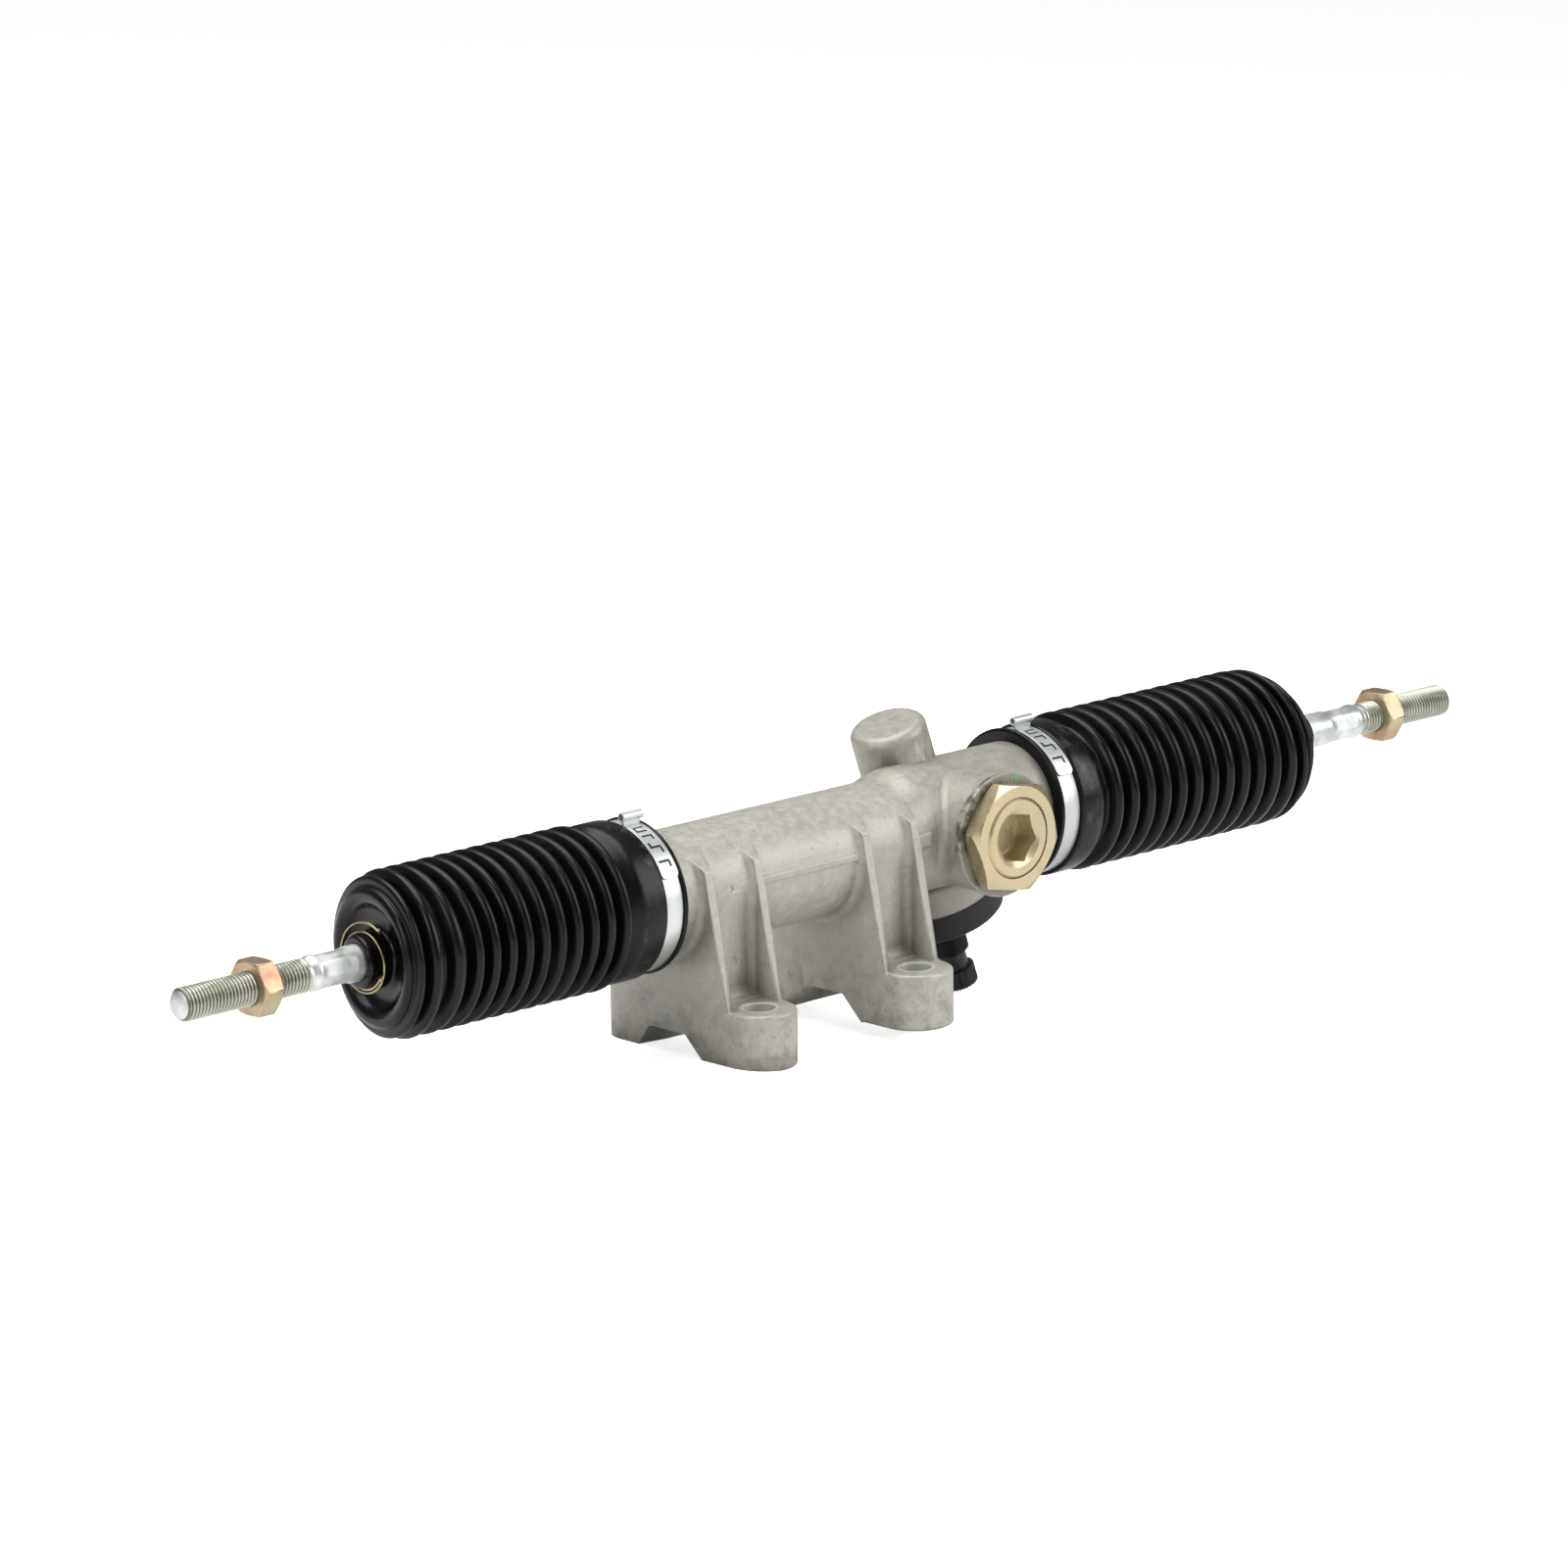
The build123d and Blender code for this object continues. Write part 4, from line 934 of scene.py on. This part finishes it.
def lower_tube(piece):
    """The tube's upper side lies lower between the left bellows and the casing: each point over
    the axis drops by drop (height/radius)^2, fading out at both ends and towards the bore. The
    skin is first divided across the tube, so that the drop can set in."""
    mesh = piece.data
    work = bmesh.new()
    work.from_mesh(mesh)
    for cut in DROP_CUTS:
        bmesh.ops.bisect_plane(
            work, geom=work.verts[:] + work.edges[:] + work.faces[:], dist=MM / 1000,
            plane_co=(YOKE_X + cut * MM, 0, 0), plane_no=(1, 0, 0),
        )
    work.to_mesh(mesh)
    work.free()
    co = np.empty(3 * len(mesh.vertices), np.float32)
    mesh.vertices.foreach_get("co", co)
    x, y, z = co.reshape(-1, 3).T - np.array([[YOKE_X], [RACK.y], [RACK.z]])
    lip = -outboard_span("left_boot", "left")[0]
    along = between(x, (lip, lip + DROP_START)) * between(x, DROP_STOP[::-1])
    outer = between(np.hypot(y, z), DROP_DEPTH) * between(z, DROP_TOP)
    co[2::3] -= TUBE_DROP * np.clip(z / TUBE_R, 0, 1.1) ** 2 * along * outer
    mesh.vertices.foreach_set("co", co)
    mesh.update()


class RACK_OT_housing(bpy.types.Operator):
    """Skin the cast housing"""

    bl_idname = "rack.housing"
    bl_label = "Housing"

    def execute(self, context):
        piece = merged_copy("housing", "cast_housing", 30)
        lower_tube(piece)
        even = piece.modifiers.new("even_shading", "WEIGHTED_NORMAL")
        even.keep_sharp, even.weight = True, 100
        assign(piece, casting("raw_casting", context.scene.rack_finish))
        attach(piece, "housing_body")
        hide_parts("housing")
        return {"FINISHED"}


# the plug's radii and the socket's depth in millimetres; "socket" is half of its width over flats
PLUG = {"socket": 8.5, "mouth": 10.9, "rim": 13.8, "radius": 15.0, "depth": 9.0, "drill": 7.2}
PLUG_TURN = radians(-10)


def plug_piece():
    """Adjuster plug in rings: a drilled floor, a hexagon's wall of radius flat/cos(angle from its
    middle), a countersink whose depth is (mouth - radius)/1.7, the face and the eased rim."""
    low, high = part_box("yoke_plug")
    socket, mouth, rim, radius, depth, drill = (value * MM for value in PLUG.values())
    angle = circle(360)
    flat = socket / np.cos((angle - PLUG_TURN) % (pi / 3) - pi / 6)
    ease, back = radius - rim, high.y - low.y
    rings = (
        (0.0, depth + ease), (drill, depth + 0.4 * ease), (1.01 * drill, depth), (flat, depth),
        (flat, (mouth - flat) / 1.7), (mouth, 0.0), (rim, 0.0), (radius, ease), (radius, back),
        (0.0, back),
    )
    r, y = (np.stack([np.broadcast_to(v, angle.shape) for v in part]) for part in zip(*rings))
    points = np.stack([YOKE_X + r * np.cos(angle), low.y + y, RACK.z + r * np.sin(angle)], -1)
    return surface("adjuster_plug", points, wrap_v=True, sharp=25)


class RACK_OT_fittings(bpy.types.Operator):
    """Skin the plug, the nuts, the cap and the pinion shaft"""

    bl_idname = "rack.fittings"
    bl_label = "Plug, nuts, cap and shaft"

    def execute(self, context):
        look = context.scene.rack_finish
        plated = {"drift": 70.0, "grain": 300.0, "relief": 0.006, "edge": 0.3, "speck": 0.1}
        gold = metal("gold_zinc", look.gold_dull, look.gold, 0.25, metallic=0.85, **plated)
        duller = metal("gold_plug", look.gold_dull, look.gold, 0.28, metallic=0.6, **plated)
        pink = metal("iridescent_zinc", look.gold_dull, look.pink, 0.36, metallic=0.8, drift=60.0,
                     grain=400.0, relief=0.008, edge=0.5, worn=look.gold, speck=0.2)
        black = plastic("black_cap", look.black, look.black_worn, 0.5, 0.3)
        oxide = metal("black_oxide", look.black_worn, look.dust, 0.3, metallic=0.7, relief=0.01,
                      edge=0.15)
        kept = (
            ("yoke_lock_nut", gold, "housing_body", "gold_zinc"),
            ("left_jam_nut", pink, "left_rod", "yellow_zinc"),
            ("right_jam_nut", pink, "right_rod", "yellow_zinc"),
            ("seal_cap", black, "housing_body", "black_cap"),
            ("pinion_shaft", oxide, "pinion", "black_steel"),
        )
        plug = plug_piece()
        assign(plug, duller)
        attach(plug, "housing_body")
        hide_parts("yoke_plug")
        for node, finish, body, slot in kept:
            piece = merged_copy(node, f"{node}_skin", 20)
            assign(piece, finish)
            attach(piece, body)
            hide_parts(node)
        return {"FINISHED"}


class RACK_OT_inside(bpy.types.Operator):
    """Give the pieces inside the housing and the bellows their finishes"""

    bl_idname = "rack.inside"
    bl_label = "Inner pieces"

    def execute(self, context):
        look = context.scene.rack_finish
        finishes = {
            "ground_steel": metal("ground_steel", (0.42, 0.42, 0.43), (0.6, 0.6, 0.61), 0.25,
                                  relief=0.005, stretch=(0.1, 1, 1)),
            "bearing_steel": metal("bearing_steel", (0.6, 0.6, 0.61), (0.75, 0.75, 0.76), 0.15,
                                   relief=0.002),
            "spring_steel": metal("spring_steel", (0.12, 0.12, 0.13), (0.3, 0.3, 0.31), 0.35),
            "bronze": metal("bronze", (0.35, 0.22, 0.10), (0.55, 0.36, 0.18), 0.35),
            "zinc": metal("socket_zinc", look.zinc_dull, look.zinc, 0.35),
            "cast": metal("yoke_casting", look.cast_dark, look.cast_light, 0.5, metallic=0.5),
            "polymer": plastic("polymer", (0.75, 0.72, 0.62), (0.62, 0.60, 0.52)),
            "black_rubber": rubber("seal_rubber", look.rubber, look.dust),
        }
        for part in frame["record"]["subparts"]:
            node = frame["nodes"][part["node"]]
            if not node.hide_render:
                assign(node, finishes[part["material_slot"]])
        return {"FINISHED"}


# ---- stage
WHITE = (1, 1, 1, 1)
FOOT_HALF = 16 * MM  # somewhat more than half a foot's length
FLOOR_REACH = 12.0  # from the part to the floor's corners, along its sides
LIT = (YOKE_X - 0.08, RACK.y, RACK.z)  # where the lamps are aimed
# lamps: name, place, size in metres, watts
LAMPS = (
    ("overhead", (LIT[0] - 0.2, LIT[1] + 0.3, 1.6), 1.6, 36.0),
    ("front_right", (1.3, -1.6, 1.1), 1.7, 36.0),
    ("left", (-1.6, -0.2, 0.9), 0.8, 8.0),
)


def resting_plane():
    """The plane that the part really lies on: through the soles of the far foot and the near foot
    at the left end and the lowest point of the pinion shaft. Returns a point and its normal."""
    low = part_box("housing")[0]
    shaft = np.array([v.co for v in frame["nodes"]["pinion_shaft"].data.vertices])
    tip = shaft[np.argmin(shaft[:, 2])]
    foot = np.array([v.co for v in frame["nodes"]["housing"].data.vertices])
    sole = foot[foot[:, 2] < low.z + 0.1 * MM]
    left = sole[sole[:, 0] < sole[:, 0].min() + FOOT_HALF]
    front, rear = left[np.argmin(left[:, 1])], left[np.argmax(left[:, 1])]
    normal = np.cross(rear - front, tip - front)
    normal *= np.sign(normal[2]) / np.linalg.norm(normal)
    return Vector(front), Vector(normal)


def glow_floor():
    """Pale floor that takes shadows: a white diffuse skin, which camera and transmitted rays see
    lifted to plain white, and glossy rays a little lifted."""
    material, tree = blank("pale_floor")[:2]
    path = put(tree, "LightPath").outputs
    seen = math(tree, "MAXIMUM", path["Is Camera Ray"], times(tree, path["Is Glossy Ray"], 0.2))
    lift = times(tree, math(tree, "MAXIMUM", seen, path["Is Transmission Ray"]), 0.76)
    skin = put(tree, "BsdfDiffuse", {"Color": (0.86, 0.86, 0.86, 1)})
    light = put(tree, "Emission", {"Color": WHITE, "Strength": lift})
    both = {0: skin.outputs[0], 1: light.outputs[0]}
    return finished(material, both, "AddShader")


def soft_box(name, place, size, watts):
    """A large area lamp aimed at the part."""
    lamp = bpy.data.lights.new(name, "AREA")
    lamp.shape, lamp.size, lamp.energy = "SQUARE", size, watts
    piece = placed(name, lamp)
    piece.location = place
    piece.rotation_euler = (Vector(LIT) - Vector(place)).to_track_quat("-Z", "Y").to_euler()


class RACK_OT_stage(bpy.types.Operator):
    """Set the floor, the world, the lamps and the camera"""

    bl_idname = "rack.stage"
    bl_label = "Stage"

    def execute(self, context):
        scene, size = context.scene, context.scene.rack_stage
        point, normal = resting_plane()
        side = Vector((1, 0, 0)) - normal * normal.x
        side.normalize()
        other = normal.cross(side)
        corners = [
            point + (side * a + other * b) * FLOOR_REACH
            for a, b in ((-1, -1), (1, -1), (1, 1), (-1, 1))
        ]
        mesh = bpy.data.meshes.new("floor")
        mesh.from_pydata(corners, [], [(0, 1, 2, 3)])
        floor = placed("floor", mesh)
        assign(floor, glow_floor())

        world = bpy.data.worlds.new("studio")
        scene.world = world
        world.use_nodes = True
        tree = world.node_tree
        tree.nodes.clear()
        seen = put(tree, "LightPath").outputs["Is Camera Ray"]
        strength = ramp(tree, seen, 0, 1, 0.21, 1.0)  # a weak light, but white to the camera
        sky = put(tree, "Background", {"Color": WHITE, "Strength": strength})
        put(tree, "OutputWorld", {"Surface": sky.outputs[0]})
        for lamp in LAMPS:
            soft_box(*lamp)

        a, e, roll = size.azimuth, size.elevation, size.roll
        ahead = Vector((sin(a) * cos(e), cos(a) * cos(e), -sin(e)))
        right = Vector((cos(a), -sin(a), 0))
        up = right.cross(ahead)
        across = right * cos(roll) + up * sin(roll)
        upright = up * cos(roll) - right * sin(roll)
        yoke_axis = Vector((YOKE_X, RACK.y, RACK.z))
        place = yoke_axis - ahead * size.distance - across * size.aside - upright * size.above
        camera = placed("camera", bpy.data.cameras.new("camera"))
        camera.data.sensor_width, camera.data.lens = 36.0, size.lens
        camera.data.sensor_fit = "HORIZONTAL"
        camera.data.clip_end = 50.0
        facing = Matrix((across, upright, -ahead)).transposed().to_4x4()
        camera.matrix_world = Matrix.Translation(place) @ facing
        scene.camera = camera
        scene.view_settings.view_transform = "Standard"
        return {"FINISHED"}


# ---- panel and registration
OPERATORS = (
    RACK_OT_housing, RACK_OT_fittings, RACK_OT_rods, RACK_OT_bellows, RACK_OT_clamps, RACK_OT_clips,
    RACK_OT_inside, RACK_OT_stage,
)
SETTINGS = {
    "rack_bellows": BellowsSettings, "rack_hardware": HardwareSettings,
    "rack_finish": FinishSettings, "rack_stage": StageSettings,
}


class RACK_PT_panel(bpy.types.Panel):
    """Lists the pieces of the steering rack and their settings"""

    bl_idname = "RACK_PT_panel"
    bl_label = "Steering rack"
    bl_space_type = "VIEW_3D"
    bl_region_type = "UI"
    bl_category = "Steering rack"

    def draw(self, context):
        for operator in OPERATORS:
            self.layout.operator(operator.bl_idname)
        for name, group in SETTINGS.items():
            box = self.layout.box()
            for key in group.__annotations__:
                box.prop(getattr(context.scene, name), key)


def register():
    for group in SETTINGS.values():
        bpy.utils.register_class(group)
    for name, group in SETTINGS.items():
        setattr(bpy.types.Scene, name, bpy.props.PointerProperty(type=group))
    for item in (*OPERATORS, RACK_PT_panel):
        bpy.utils.register_class(item)


def unregister():
    for item in (RACK_PT_panel, *reversed(OPERATORS)):
        bpy.utils.unregister_class(item)
    for name, group in SETTINGS.items():
        delattr(bpy.types.Scene, name)
        bpy.utils.unregister_class(group)


def main():
    register()
    for operator in OPERATORS:
        group, name = operator.bl_idname.split(".")
        getattr(getattr(bpy.ops, group), name)()


if __name__ == "__main__":
    main()
